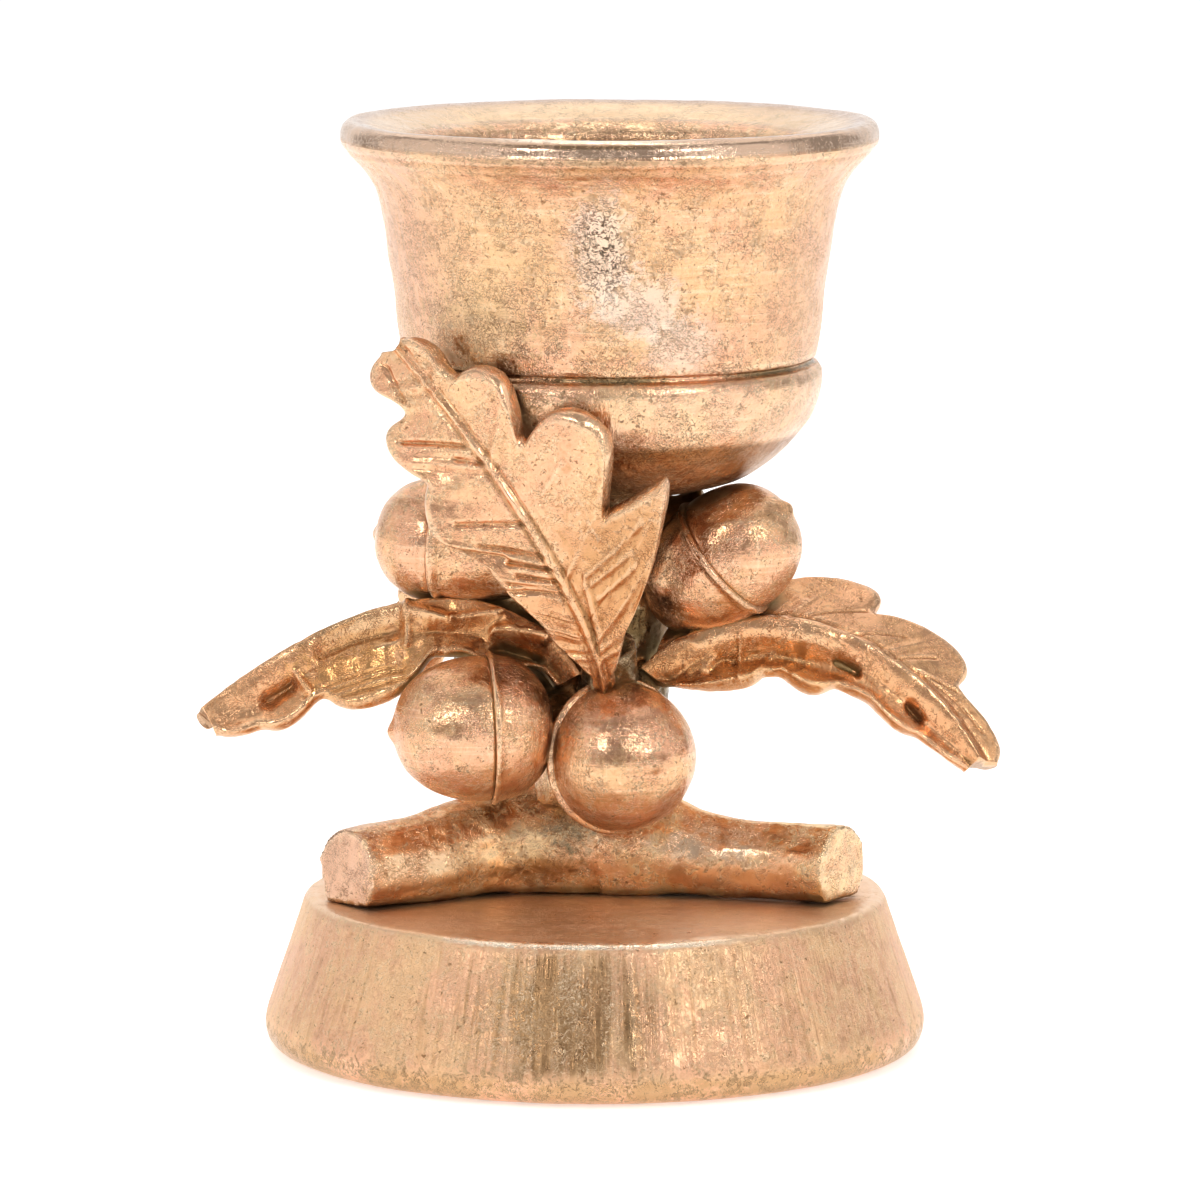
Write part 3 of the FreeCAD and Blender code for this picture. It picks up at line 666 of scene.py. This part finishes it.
def arm_rings(name, seed):
    """Rings of one arm from its sawn face to the hub, ridged like bark."""
    shares = np.array(arm_shares[name])
    stations = smooth_line(shares * BASE_TOP_RADIUS, ARM_STATIONS)
    places = np.column_stack([stations[:, :2], np.full(ARM_STATIONS, base_high.z)])
    run = -np.gradient(places, axis=0)
    along = np.arctan2(run[:, 1], run[:, 0])
    straight = np.clip(1 - np.arange(ARM_STATIONS) / (ARM_STATIONS * 0.22), 0, 1)
    sawn = math.radians(sawn_angles[name])
    heading = along + straight * ((sawn - along + math.pi) % (2 * math.pi) - math.pi)
    width = branch_width * stations[:, 2] / BASE_TOP_RADIUS / np.cos(heading - along)
    height = branch_end_height + (branch_hub_height - branch_end_height) * stations[:, 3] / BASE_TOP_RADIUS
    drop = math.sqrt(1 - flat_chord ** 2)
    rise = height / (1 + drop)
    start = -math.asin(drop)
    angles = np.linspace(start, math.pi - start, ARM_SIDES)
    bark = random_line(0.28, seed)
    twist = random_line(14.0, seed + 1)
    travelled = np.arange(ARM_STATIONS) * ARM_RUN / ARM_STATIONS
    ridge = 1 + 0.035 * bark(angles[None, :] + 0.25 * twist(travelled)[:, None] + 3)
    knots = random_line(5.0, seed + 2)
    ridge = ridge * (1 + 0.035 * knots(travelled[:, None] + 4 * np.sin(angles)[None, :]))
    across = np.stack([-np.sin(heading), np.cos(heading), np.zeros(ARM_STATIONS)], axis=1)
    side = width[:, None] / 2 * np.cos(angles)[None, :] * ridge
    lift = np.maximum(rise[:, None] * (drop + np.sin(angles)[None, :] * ridge), 0)
    rings = places[:, None, :] + across[:, None, :] * side[..., None]
    rings[..., 2] += lift
    return rings


def fused(name, parts, voxel, smoothing):
    """Several closed forms melted into one by a voxel remesh, then smoothed."""
    piece = merged(name, parts)
    for part in parts:
        bpy.data.objects.remove(part)
    remesh = piece.modifiers.new("melt", "REMESH")
    remesh.mode = "VOXEL"
    remesh.voxel_size = voxel * MM
    smooth = piece.modifiers.new("soften", "SMOOTH")
    smooth.iterations = smoothing
    smooth.factor = 0.5
    return baked(piece)


def merged(name, parts):
    """One object with the meshes of several."""
    form = bmesh.new()
    for part in parts:
        form.from_mesh(part.data)
    mesh = bpy.data.meshes.new(name)
    form.to_mesh(mesh)
    form.free()
    return placed(name, mesh)


def baked(piece):
    """The piece with its modifiers worked into its mesh."""
    held = bpy.context.evaluated_depsgraph_get()
    mesh = bpy.data.meshes.new_from_object(piece.evaluated_get(held), depsgraph=held)
    piece.modifiers.clear()
    old = piece.data
    piece.data = mesh
    bpy.data.meshes.remove(old)
    mesh.name = piece.name
    mesh.shade_smooth()
    return piece


def make_branch():
    """The forked branch: three sawn arms that grow into one hub."""
    arms = [tube("arm_" + name, arm_rings(name, 40 + 5 * index)) for index, name in enumerate(arm_shares)]
    return fused("forked_branch", arms, MELT, 3)


def rod_rings(start, end, start_radius, end_radius, sides=24, rows=14):
    """Rings of a tapering rod."""
    start, end = np.array(start), np.array(end)
    circle = circle_about(end - start, sides)
    shares = np.linspace(0, 1, rows)[:, None, None]
    return start + (end - start) * shares + circle[None] * (start_radius + (end_radius - start_radius) * shares)


TRUNK_RADIUS = 6.6
# start, end, and the radius at each, of the stubs that no acorn or leaf hangs on
stubs = [
    ((POST_X, 0, 48.0), (-12.5, -1.0, 50.2), 4.0, 3.6), ((POST_X, 0, 54.0), (12.5, 0.0, 58.6), 4.0, 3.0),
    ((POST_X, -7.5, 40.0), (POST_X + 0.4, -12.0, 46.0), 3.4, 2.6),
    ((POST_X, 0, 40.0), (-15.0, -4.0, 42.6), 4.0, 2.4), ((POST_X, 0, 28.5), (-5.6, -3.5, 29.6), 3.0, 2.6)]


def make_stem():
    """The stem between the fork and the cup, with a stub to every acorn and leaf."""
    foot = base_high.z + branch_hub_height - 2.0
    top = cup_low.z + 0.5
    forms = [tube("trunk", rod_rings((POST_X, 0, foot), (POST_X, 0, top), TRUNK_RADIUS, TRUNK_RADIUS, 48, 60))]
    for name, (place, direction, radius_share, _, cap_share) in acorn_shares.items():
        seam = post_point(place, acorn_radius)
        back = seam - unit(np.array(direction)) * acorn_radius * cap_share * 0.55
        forms.append(tube("stub", rod_rings((POST_X, 0, back[2]), back, 3.4, 3.0)))
    for name, leaf in leaf_shares.items():
        root = post_point(leaf["midrib"][0], leaf_size[name])
        forms.append(tube("stub", rod_rings((POST_X, 0, root[2] - 1.0), root, 3.2, 1.7)))
    forms += [tube("stub", rod_rings(*stub)) for stub in stubs]
    return fused("stem", forms, MELT, 8)


# Cup and base

CUP_COLUMNS = 460
BASE_COLUMNS = 640


def make_cup():
    """The flared cup with its rolled lip, bead groove, round bowl and bore."""
    outer = [(0.01, 61.0), (6.0, 61.05), (10.5, 61.6), (14.8, 62.9), (18.1, 65.1), (20.3, 67.4), (21.9, 69.5),
             (22.7, 71.7), (23.0, 73.6), (22.95, 74.6)]
    groove = [(22.6, 75.1), (22.0, 75.45), (21.95, 75.75), (22.35, 76.1)]
    wall = [(22.55, 77.3), (22.9, 79.6), (23.3, 83.9), (23.7, 86.1), (24.3, 90.5), (24.7, 92.7), (25.3, 94.5),
            (26.15, 95.9), (27.2, 97.1), (28.05, 98.0), (28.35, 98.5), (28.75, 98.85), (29.0, 99.6), (29.0, 100.4),
            (28.75, 101.1), (28.1, 101.55), (27.2, 101.5), (25.0, 100.95), (22.6, 100.1), (21.0, 99.3),
            (20.3, 98.5), (20.03, 97.5)]
    inner = [(20.0, 97.0), (20.0, 75.0), (19.6, 73.6), (18.2, 73.05), (0.01, 73.0)]
    line = np.concatenate([smooth_line(outer, 40), smooth_line(groove, 14), smooth_line(wall, 90)])
    profile = rows_through([tuple(row) for row in line] + inner, 0.8)
    wave = rippled(7, 3)
    return spun("cup_shell", profile, POST_X, CUP_COLUMNS, lambda angles: 0.0035 * wave(angles))


def make_base():
    """The tapered base with its rolled foot and worn top edge."""
    foot = [(0.01, 1.55), (30.9, 1.55), (31.3, 0.5)]
    side = [(31.6, 0.32), (34.4, 0.32), (35.3, 0.7), (35.95, 1.6), (36.15, 2.7), (36.0, 3.9), (35.4, 5.8),
            (33.6, 11.0), (32.2, 15.2), (31.85, 16.2), (31.4, 16.8), (30.6, 16.97)]
    top = [(29.0, 16.95), (15.0, 16.9), (0.01, 16.9)]
    line = smooth_line(side, 90)
    profile = rows_through(foot + [tuple(row) for row in line] + top, 1.6)
    wave = rippled(6, 8)
    flutes = random_line(math.radians(2.7), 61)
    fine_flutes = random_line(math.radians(0.9), 62)
    piece = spun("base_casting", profile, 0.0, BASE_COLUMNS, lambda angles: 0.0025 * wave(angles))
    points = read_points(piece) / MM
    angle = np.arctan2(points[:, 1], points[:, 0])
    from_front = np.abs((angle + math.radians(88.0) + math.pi) % (2 * math.pi) - math.pi)
    strength = 0.015 + 0.06 * bell(from_front, 0.24)
    height = np.clip((points[:, 2] - 3.8) / 1.5, 0, 1) * np.clip((16.6 - points[:, 2]) / 0.6, 0, 1)
    move = strength * height * (flutes(angle + 4) + 0.45 * fine_flutes(angle + 4))
    radius = np.maximum(np.hypot(points[:, 0], points[:, 1]), 1)
    points[:, :2] += points[:, :2] / radius[:, None] * move[:, None]
    write_points(piece, points * MM)
    return piece


# Materials

PALE = (0.93, 0.74, 0.53)
AMBER = (0.5, 0.27, 0.12)
BROWN = (0.25, 0.13, 0.052)
OLIVE = (0.32, 0.255, 0.13)
DARK = (0.07, 0.045, 0.025)
# a painted highlight: a pale line along the front of the cup's lip and of the base's top edge
PAINTED_HIGHLIGHT = (1, 0.9, 0.75)
# brown at the front of the base: partly its finish, partly a painted reflection of the dark space in front of it
FRONT_BROWN_AND_DARK_REFLECTION = (0.33, 0.195, 0.09)
FOOT_BROWN = (0.3, 0.18, 0.08)
# the cup's mouth brightened as a painted highlight, from the lip's outer edge inwards, then painted shade inside the
# bore
MOUTH_EDGE = (0.56, 0.39, 0.3)
MOUTH_HIGHLIGHT = (0.8, 0.585, 0.385)
BORE_SHADE = (0.34, 0.15, 0.045)
WHITE = (1, 1, 1)


def surfaced(name):
    """A new material with its maker, its shader and the object's own coordinates in millimetres."""
    material = bpy.data.materials.new(name)
    material.use_nodes = True
    make = Maker(material.node_tree)
    place = make.stretched(make.node("ShaderNodeTexCoord", out="Object"), (1 / MM, 1 / MM, 1 / MM))
    return material, make, make.tree.nodes["Principled BSDF"], place


def contour(make, width, *noise):
    """Thin winding lines: where a noise passes through its middle."""
    return 1 - make.ramp(abs(make.noise(*noise) - 0.5), 0.0, width)


def spot(make, place, centre, spread, ragged):
    """1 in the middle of a ragged oval spot, 0 outside it."""
    scaled = make.vector("DIVIDE", make.vector("SUBTRACT", place, centre), spread)
    return make.ramp(make.vector("LENGTH", scaled, out="Value") + ragged, 1.2, 0.4)


def gilded(name, rose, gold, gloss=0.25, patina=1.0, bump=0.7, brush=0.0, chatter=0.0, low=None, bore=None, bands=(),
           worn_and_lit_spots=()):
    """Rubbed gold leaf: rose and yellow gold, fine winding wrinkles and pits, brown to olive in the crevices."""
    material, make, shader, place = surfaced(name)
    split = make.node("ShaderNodeSeparateXYZ", {}, {"Vector": place})
    across, along, up = (Term(make.tree, output) for output in split.socket.node.outputs)
    patches = make.noise(place, 0.13, 4.0, 0.6, 0.3)
    mottle = make.noise(place, 0.75, 6.0, 0.68, 0.8)
    fine = make.noise(place, 2.6, 3.0, 0.7, 0.5)
    dents = make.noise(place, 0.42, 1.0, 0.5, 0.4)
    small_worms = contour(make, 0.055, place, 1.7, 1.0, 0.5, 1.4)
    large_worms = contour(make, 0.035, place, 0.95, 1.0, 0.5, 1.8)
    worm_field = make.ramp(make.noise(place, 0.3, 3.0, 0.6), 0.42, 0.6)
    worms = (small_worms * 0.55 + large_worms * 0.6) * worm_field
    colour = make.laid(make.mixed(make.ramp(patches + mottle.swing(0.7), 0.36, 0.64), rose, gold),
                       (make.ramp(mottle + fine.swing(0.5), 0.46, 0.34) * 0.3, AMBER),
                       (make.ramp(mottle + fine.swing(0.7), 0.54, 0.64) * 0.32, PALE))
    height = dents * 0.8 + mottle * 0.16 + fine * 0.1 + worms * 0.3
    rough = gloss + mottle.swing(0.3) + patches.swing(0.15)

    # brush marks, up the piece and around it
    if brush:
        strokes = make.noise(make.stretched(place, (1.6, 1.6, 0.1)), 1.0, 4.0, 0.65, 0.1)
        cross = make.noise(make.stretched(place, (0.12, 0.12, 2.2)), 1.0, 3.0, 0.6, 0.1)
        height = height + (strokes * 0.5 + cross * 0.2) * brush
        for marks, start, end, strength, tone in (
                (strokes, 0.55, 0.75, 0.5, PALE), (strokes, 0.45, 0.25, 0.5, AMBER),
                (cross, 0.54, 0.68, 0.35, PALE), (cross, 0.46, 0.32, 0.35, AMBER)):
            colour = make.mixed(make.ramp(marks, start, end) * brush * strength, colour, tone)

    # upright tool marks on a turned side, wrinkled at the front and darker there, partly a brown finish and partly a
    # painted reflection of the dark space in front, with a worn foot
    if chatter:
        turn = across.sum("ARCTAN2", along, across) * 33.0
        lined = make.node("ShaderNodeCombineXYZ", {}, {"X": turn, "Y": up * 0.05, "Z": 0.0})
        lines = make.noise(lined, 1.5, 3.0, 0.6)
        broad = make.noise(lined, 0.45, 3.0, 0.6)
        side = make.ramp(abs(up - 9.8), 7.0, 5.4)
        front = spot(make, place, (-3.5, -35.0, 9.5), (11.0, 12.0, 9.0), broad.swing(2.0) + lines.swing(1.2))
        wrinkles = contour(make, 0.05, place, 1.05, 2.0, 0.6, 1.8) * make.ramp(broad, 0.4, 0.55) * side
        foot = make.ramp(up, 4.8, 3.2) * make.ramp(mottle + fine.swing(0.6), 0.54, 0.62)
        colour = make.laid(
            colour, (make.ramp(lines, 0.48, 0.32) * side * 0.32, AMBER),
            (make.ramp(lines, 0.55, 0.75) * side * 0.25, PALE), (front * side * 0.85, FRONT_BROWN_AND_DARK_REFLECTION),
            (wrinkles * (front * 0.75 + 0.12), PALE), (foot * 0.6, FOOT_BROWN))
        height = height + lines * side * chatter * 0.5 + wrinkles * 0.45 - foot * 0.35
        rough = rough - front * side * 0.1

    flecks = contour(make, 0.035, place, 1.5, 3.0, 0.6, 1.2) * make.ramp(mottle, 0.52, 0.62)
    pits = make.ramp(make.noise(place, 1.9, 2.0, 0.6, 0.6), 0.66, 0.72)
    colour = make.laid(colour, (flecks * 0.55, BROWN), (pits * 0.7, BROWN), (worms * 0.3, PALE))
    height = height - flecks * 0.35 - pits * 0.3

    # spots in their own tones: wear and tone patches, and on the branch painted highlights on the arms' tops and
    # painted shade beneath
    for centre, spread, tone, strength, *chipped in worn_and_lit_spots:
        patch = spot(make, place, centre, spread, patches.swing(1.4) + mottle.swing(2.4))
        colour = make.mixed(patch * strength, colour, tone)
        if chipped:
            squiggles = contour(make, 0.06, place, 0.95, 2.0, 0.6, 1.6) * make.ramp(fine, 0.44, 0.52)
            chips = squiggles * spot(make, place, centre, spread, patches.swing(1.2) + 0.15)
            colour = make.mixed(chips * 0.9, colour, DARK)
            height = height - chips * 0.7

    # the mouth of a cup, clean and smooth above a level and brightened there as a painted highlight, and painted
    # shade inside its bore
    if bore:
        radius, level, clean_highlit_above = bore
        within = make.vector("LENGTH", make.vector("MULTIPLY_ADD", place, (1, 1, 0), (-POST_X, 0, 0)), out="Value")
        clean_and_highlit = make.ramp(up, clean_highlit_above, clean_highlit_above + 0.6)
        patina = patina * (1 - clean_and_highlit)
        highlit_mouth = make.mixed(make.ramp(within, 27.5, 25.0), MOUTH_EDGE, MOUTH_HIGHLIGHT)
        inside = make.ramp(within, radius + 0.8, radius) * make.ramp(up, level, level - 1.2)
        colour = make.laid(colour, (clean_and_highlit * 0.88, highlit_mouth), (inside * 0.9, BORE_SHADE))
        height = height * (1 - clean_and_highlit * 0.7)
        rough = rough - clean_and_highlit * 0.08

    if low:
        full_below, none_above, strength, tone = low
        colour = make.mixed(make.ramp(up + patches.swing(8), none_above, full_below) * strength, colour, tone)
    for level, width, tone, strength, half_width in bands:
        band = make.ramp(abs(up + mottle.swing(width) * 1.2 - level), width, width * 0.3)
        if half_width:
            band = band * spot(make, place, (-1.0, -28.0, level), (half_width, 16.0, 30.0), patches.swing(0.8))
        colour = make.mixed(band * make.ramp(patches + fine.swing(0.5), 0.34, 0.5) * strength, colour, tone)
        rough = rough - band * strength * 0.2

    # patina in what is hemmed in; what stands proud is paler, partly wear and partly a painted highlight, and what is
    # sunk is darker, partly patina and partly painted shade
    crevice, proud = (make.node("ShaderNodeAttribute", {"attribute_name": stored}, out="Fac")
                      for stored in ("crevice", "proud"))
    raised = make.ramp(proud, 0.006, 0.06)
    sunk_patina_and_shade = make.ramp(proud, -0.006, -0.07)
    deep_patina_and_shade = make.ramp(proud, -0.05, -0.16) * patina
    toned = make.ramp(crevice + mottle.swing(0.1), 0.18, 0.55) * patina
    hollow = make.ramp(crevice + patches.swing(0.2) + mottle.swing(0.1), 0.34, 0.62) * patina
    colour = make.laid(
        colour, (raised * 0.22, PALE), (sunk_patina_and_shade * 0.5 * patina, AMBER), (toned * 0.4, AMBER),
        (hollow * 0.75, make.mixed(make.ramp(patches, 0.4, 0.6), BROWN, OLIVE)), (deep_patina_and_shade * 0.7, BROWN))
    rough = rough + hollow * 0.25 - raised * 0.08
    make.fill(shader, {
        "Metallic": 0.97, "Base Color": colour, "Normal": make.bump(bump, height),
        "Roughness": make.node("ShaderNodeClamp", {}, {"Value": rough, "Min": 0.13, "Max": 0.8})})
    return material


def felt():
    """Brown felt, with its fibres."""
    material, make, shader, place = surfaced("felt")
    fibres = make.noise(place, 2.5, 6.0, 0.75, 2.0)
    colour = make.mixed(fibres, (0.035, 0.022, 0.015), (0.12, 0.08, 0.055))
    make.fill(shader, {"Base Color": colour, "Normal": make.bump(0.8, fibres), "Roughness": 0.95})
    return material


def zinc():
    """Plain zinc plate on the hidden screw."""
    material, make, shader, place = surfaced("zinc")
    spangle = make.noise(place, 1.4, 3.0, 0.6)
    colour = make.mixed(spangle, (0.42, 0.42, 0.43), (0.66, 0.66, 0.64))
    make.fill(shader, {"Base Color": colour, "Roughness": 0.25 + spangle * 0.3, "Metallic": 1.0})
    return material


# Stage, lights and camera, in metres

FLOOR_REACH = 0.95
CAMERA_DISTANCE = 828.4 * MM
FRAME_WIDTH = 130.8 * MM
CAMERA_PITCH = math.radians(8.3)
AIM = Vector((0.44, 0.0, 49.05)) * MM
LIT = (0.0, 0.0, 0.05)
# name, place, size and radiance
lamps = [
    ("left_softbox", (-0.8, -0.14, 0.34), (1.0, 0.8), 0.6),
    ("right_softbox", (0.7, -0.38, 0.34), (0.9, 0.8), 0.62),
    ("top_softbox", (0.0, 0.22, 0.85), (1.1, 1.2), 0.75), ("back_wall", (0.0, 1.0, 0.4), (2.0, 0.9), 0.65),
    ("left_spark", (-0.4, -0.64, 0.42), (0.13, 0.15), 13.0), ("right_spark", (0.42, -0.62, 0.42), (0.13, 0.15), 15.0),
    ("top_strip", (0.05, 0.05, 0.82), (0.35, 0.06), 6.0)]


def looking(name, data, place, target):
    """A lamp or camera at a place, turned to look at a target."""
    holder = placed(name, data)
    holder.location = place
    holder.rotation_euler = (Vector(target) - Vector(place)).to_track_quat("-Z", "Y").to_euler()
    return holder


def make_stage():
    """White floor, white surroundings, soft lamps out of the camera's sight, and the photograph's angle."""
    mesh = bpy.data.meshes.new("floor")
    corners = [(x * FLOOR_REACH, y * FLOOR_REACH, 0) for x, y in ((-1, -1), (1, -1), (1, 1), (-1, 1))]
    mesh.from_pydata(corners, [], [(0, 1, 2, 3)])
    floor = placed("floor", mesh)
    material = bpy.data.materials.new("white_floor")
    material.use_nodes = True
    Maker(material.node_tree).fill(material.node_tree.nodes["Principled BSDF"], {
        "Base Color": (0.9, 0.9, 0.9), "Roughness": 0.9, "Emission Color": WHITE, "Emission Strength": 0.5})
    mesh.materials.append(material)
    world = bpy.data.worlds.new("studio")
    scene.world = world
    world.use_nodes = True
    make = Maker(world.node_tree)
    make.tree.nodes.clear()
    seen = make.node("ShaderNodeLightPath", out="Is Camera Ray")
    back = make.node("ShaderNodeBackground", {}, {"Color": WHITE, "Strength": 0.48 + seen * 0.59})
    make.fill(make.tree.nodes.new("ShaderNodeOutputWorld"), {"Surface": back})
    for name, place, size, radiance in lamps:
        lamp = bpy.data.lights.new(name, "AREA")
        lamp.shape = "RECTANGLE"
        lamp.size, lamp.size_y = size
        lamp.energy = radiance * math.pi * size[0] * size[1]
        looking(name, lamp, place, LIT).visible_camera = False
    camera = bpy.data.cameras.new("camera")
    camera.sensor_width = 36.0
    camera.lens = camera.sensor_width * CAMERA_DISTANCE / FRAME_WIDTH
    camera.clip_start = 0.05
    away = Vector((0, -math.cos(CAMERA_PITCH), math.sin(CAMERA_PITCH)))
    scene.camera = looking("camera", camera, AIM + away * CAMERA_DISTANCE, AIM)
    scene.view_settings.view_transform = "Standard"
    scene.view_settings.gamma = 0.88


# Putting it together

make_stage()
relief = relief_tree()
crevices = crevice_tree()
# worn spots, some of them painted highlight and painted shade: middle, spread, tone, strength. bands: level, width,
# tone, strength, half its length, or 0 to go all round.
# low: the height that it is full below and gone above, strength, tone.
cup_finish = gilded(
    "cup_gilding", (0.79, 0.455, 0.295), (0.81, 0.515, 0.3), brush=0.8, patina=0.7, bump=0.9, bore=(20.4, 98.2, 99.4),
    bands=[
        # at the front, under the lip: painted shade at 98.1, 99.2 and 100.9 mm and a painted highlight along the lip
        # at 101.5 mm
        (98.1, 0.9, AMBER, 0.55, 19), (99.2, 0.42, BROWN, 0.75, 17), (100.9, 0.36, BROWN, 0.9, 10),
        (101.5, 0.28, PAINTED_HIGHLIGHT, 0.9, 10), (75.6, 0.42, (0.22, 0.17, 0.09), 0.85, 0)],
    worn_and_lit_spots=[
        ((0.8, -24, 89.8), (4, 14, 7.5), (0.84, 0.73, 0.62), 0.5, "chipped"),
        ((4.8, -23, 83.5), (5.5, 14, 4), (0.84, 0.7, 0.58), 0.5),
        ((8.5, -22, 79.5), (4, 14, 3), (0.84, 0.7, 0.58), 0.45),
        ((-22, -10, 88), (11, 14, 18), (0.7, 0.44, 0.29), 0.6),
        ((24, -8, 86), (11, 14, 18), (0.76, 0.475, 0.3), 0.6),
        ((-11, -21, 88), (8, 12, 10), (0.74, 0.52, 0.28), 0.3),
        ((-13, -20, 80), (6, 12, 6), (0.46, 0.35, 0.19), 0.42)])
base_finish = gilded(
    "base_gilding", (0.83, 0.5, 0.32), (0.85, 0.565, 0.335), chatter=1.6, bump=0.65, gloss=0.4, patina=0.6,
    # the front band at 16.6 mm is a painted highlight along the base's top edge
    bands=[(16.6, 0.38, PAINTED_HIGHLIGHT, 0.95, 17), (1.7, 2, (0.55, 0.34, 0.17), 0.8, 0)],
    worn_and_lit_spots=[((0, 0, 17.4), (90, 90, 0.9), (0.92, 0.66, 0.46), 0.8)])
acorn_finish = gilded(
    "acorn_gilding", (0.77, 0.44, 0.28), (0.8, 0.5, 0.285), gloss=0.2, patina=0.9, brush=0.7, bump=0.6)
leaf_finish = gilded(
    "leaf_gilding", (0.8, 0.455, 0.285), (0.83, 0.53, 0.31), low=(47, 64, 0.6, (0.7, 0.375, 0.18)),
    worn_and_lit_spots=[
        ((4.5, -18, 56), (9, 18, 12), (0.58, 0.33, 0.15), 0.75),
        ((-13, -9, 45.5), (12, 14, 6), (0.52, 0.29, 0.12), 0.8),
        ((7, -10, 43), (9, 14, 6), (0.52, 0.28, 0.12), 0.8),
        ((-25.3, -5, 47), (8, 12, 3.5), (0.4, 0.31, 0.16), 0.8),
        ((-24.3, -8, 41.5), (9, 12, 3.5), (0.74, 0.44, 0.14), 0.7),
        ((-40.2, -5, 38.2), (6, 9, 3.5), (0.8, 0.55, 0.37), 0.7),
        ((18.7, -8, 42), (9, 12, 4), (0.74, 0.46, 0.18), 0.7),
        ((33, 4, 43.4), (16, 12, 9), (0.74, 0.49, 0.36), 0.7)])
branch_finish = gilded(
    "branch_gilding", (0.82, 0.5, 0.3), (0.87, 0.62, 0.36), patina=0.8, low=(34, 29.5, 0.95, (0.13, 0.085, 0.035)),
    worn_and_lit_spots=[
        ((-7, -9, 20), (6, 8, 3), (0.34, 0.2, 0.08), 0.8),
        # painted highlights on the tops of the left and right arms, and painted shade under the right arm
        ((-19, -9, 21), (7, 8, 2.4), (0.86, 0.65, 0.43), 0.6),
        ((12.5, -7, 23), (6.5, 8, 1.6), (0.88, 0.7, 0.52), 0.6),
        ((13, -9, 19.4), (9, 8, 1.8), (0.56, 0.32, 0.17), 0.7),
        ((-28, -10, 21), (4, 14, 9), (0.64, 0.4, 0.28), 0.85),
        ((-3.2, -8, 25), (4.5, 8, 3), (0.3, 0.25, 0.16), 0.8)])

# piece, nodes that it stands for, slot, material, and its lumps and crinkles in millimetres: size, depth
dressed = [
    (make_cup(), ["candle_cup"], "cup_finish", cup_finish, (9.0, 0.35, 1.3, 0.06)),
    (make_base(), ["base_plinth"], "base_finish", base_finish, (12.0, 0.25, 1.6, 0.05)),
    (make_branch(), ["left_branch", "right_branch", "rear_branch"], "branch_finish", branch_finish,
     (6.0, 0.6, 1.4, 0.09)),
    (make_stem(), ["centre_post"], "branch_finish", branch_finish, (3.0, 0.7, 1.0, 0.25))]
for name in acorn_shares:
    nut, cap = make_acorn(name)
    dressed.append((nut, [name + "_nut"], "acorn_finish", acorn_finish, (7.0, 0.5, 1.3, 0.07)))
    dressed.append((cap, [name + "_cap"], "acorn_finish", acorn_finish, (7.0, 0.5, 1.1, 0.1)))
for index, name in enumerate(leaf_shares):
    blade = make_leaf(name, 100 + 10 * index)
    dressed.append((blade, [name], "leaf_finish", leaf_finish, (5.0, 0.4, 1.1, 0.06)))

for index, (piece, nodes, _, material, relief_sizes) in enumerate(dressed):
    seed = 31.0 if "acorn" in nodes[0] else 7.0 * index
    through_tree(piece, relief, {**dict(zip(relief_inputs, (*relief_sizes, seed))), "Material": material})

# relief that reaches past the solids' box is eased back over this distance, so no tip is cut flat
EASED = 5 * MM
low_corner, high_corner = (np.array(corner) for corner in cad_box)
for piece, *_ in dressed:
    points = read_points(piece)
    for axis in range(3):
        for sign, limit in ((1, high_corner[axis]), (-1, -low_corner[axis])):
            values = sign * points[:, axis]
            past = values.max() - limit
            if past > 0:
                begin = limit - EASED
                outer = values > begin
                values[outer] = begin + (values[outer] - begin) * EASED / (EASED + past)
                points[:, axis] = sign * values
    write_points(piece, np.clip(points, low_corner, high_corner))

around = merged("around", [piece for piece, *_ in dressed])
for piece, _, _, material, _ in dressed:
    through_tree(piece, crevices, {"Around": around, "Reach": CREVICE_REACH, "Blur": CREVICE_BLUR,
                                    "Material": material})
bpy.data.objects.remove(around)

for piece, nodes, slot, _, _ in dressed:
    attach(piece, "root")
    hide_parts(*nodes)

for node, material in (("felt_pad", felt()), ("fixing_screw", zinc())):
    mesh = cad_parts[node].data
    mesh.materials.clear()
    mesh.materials.append(material)
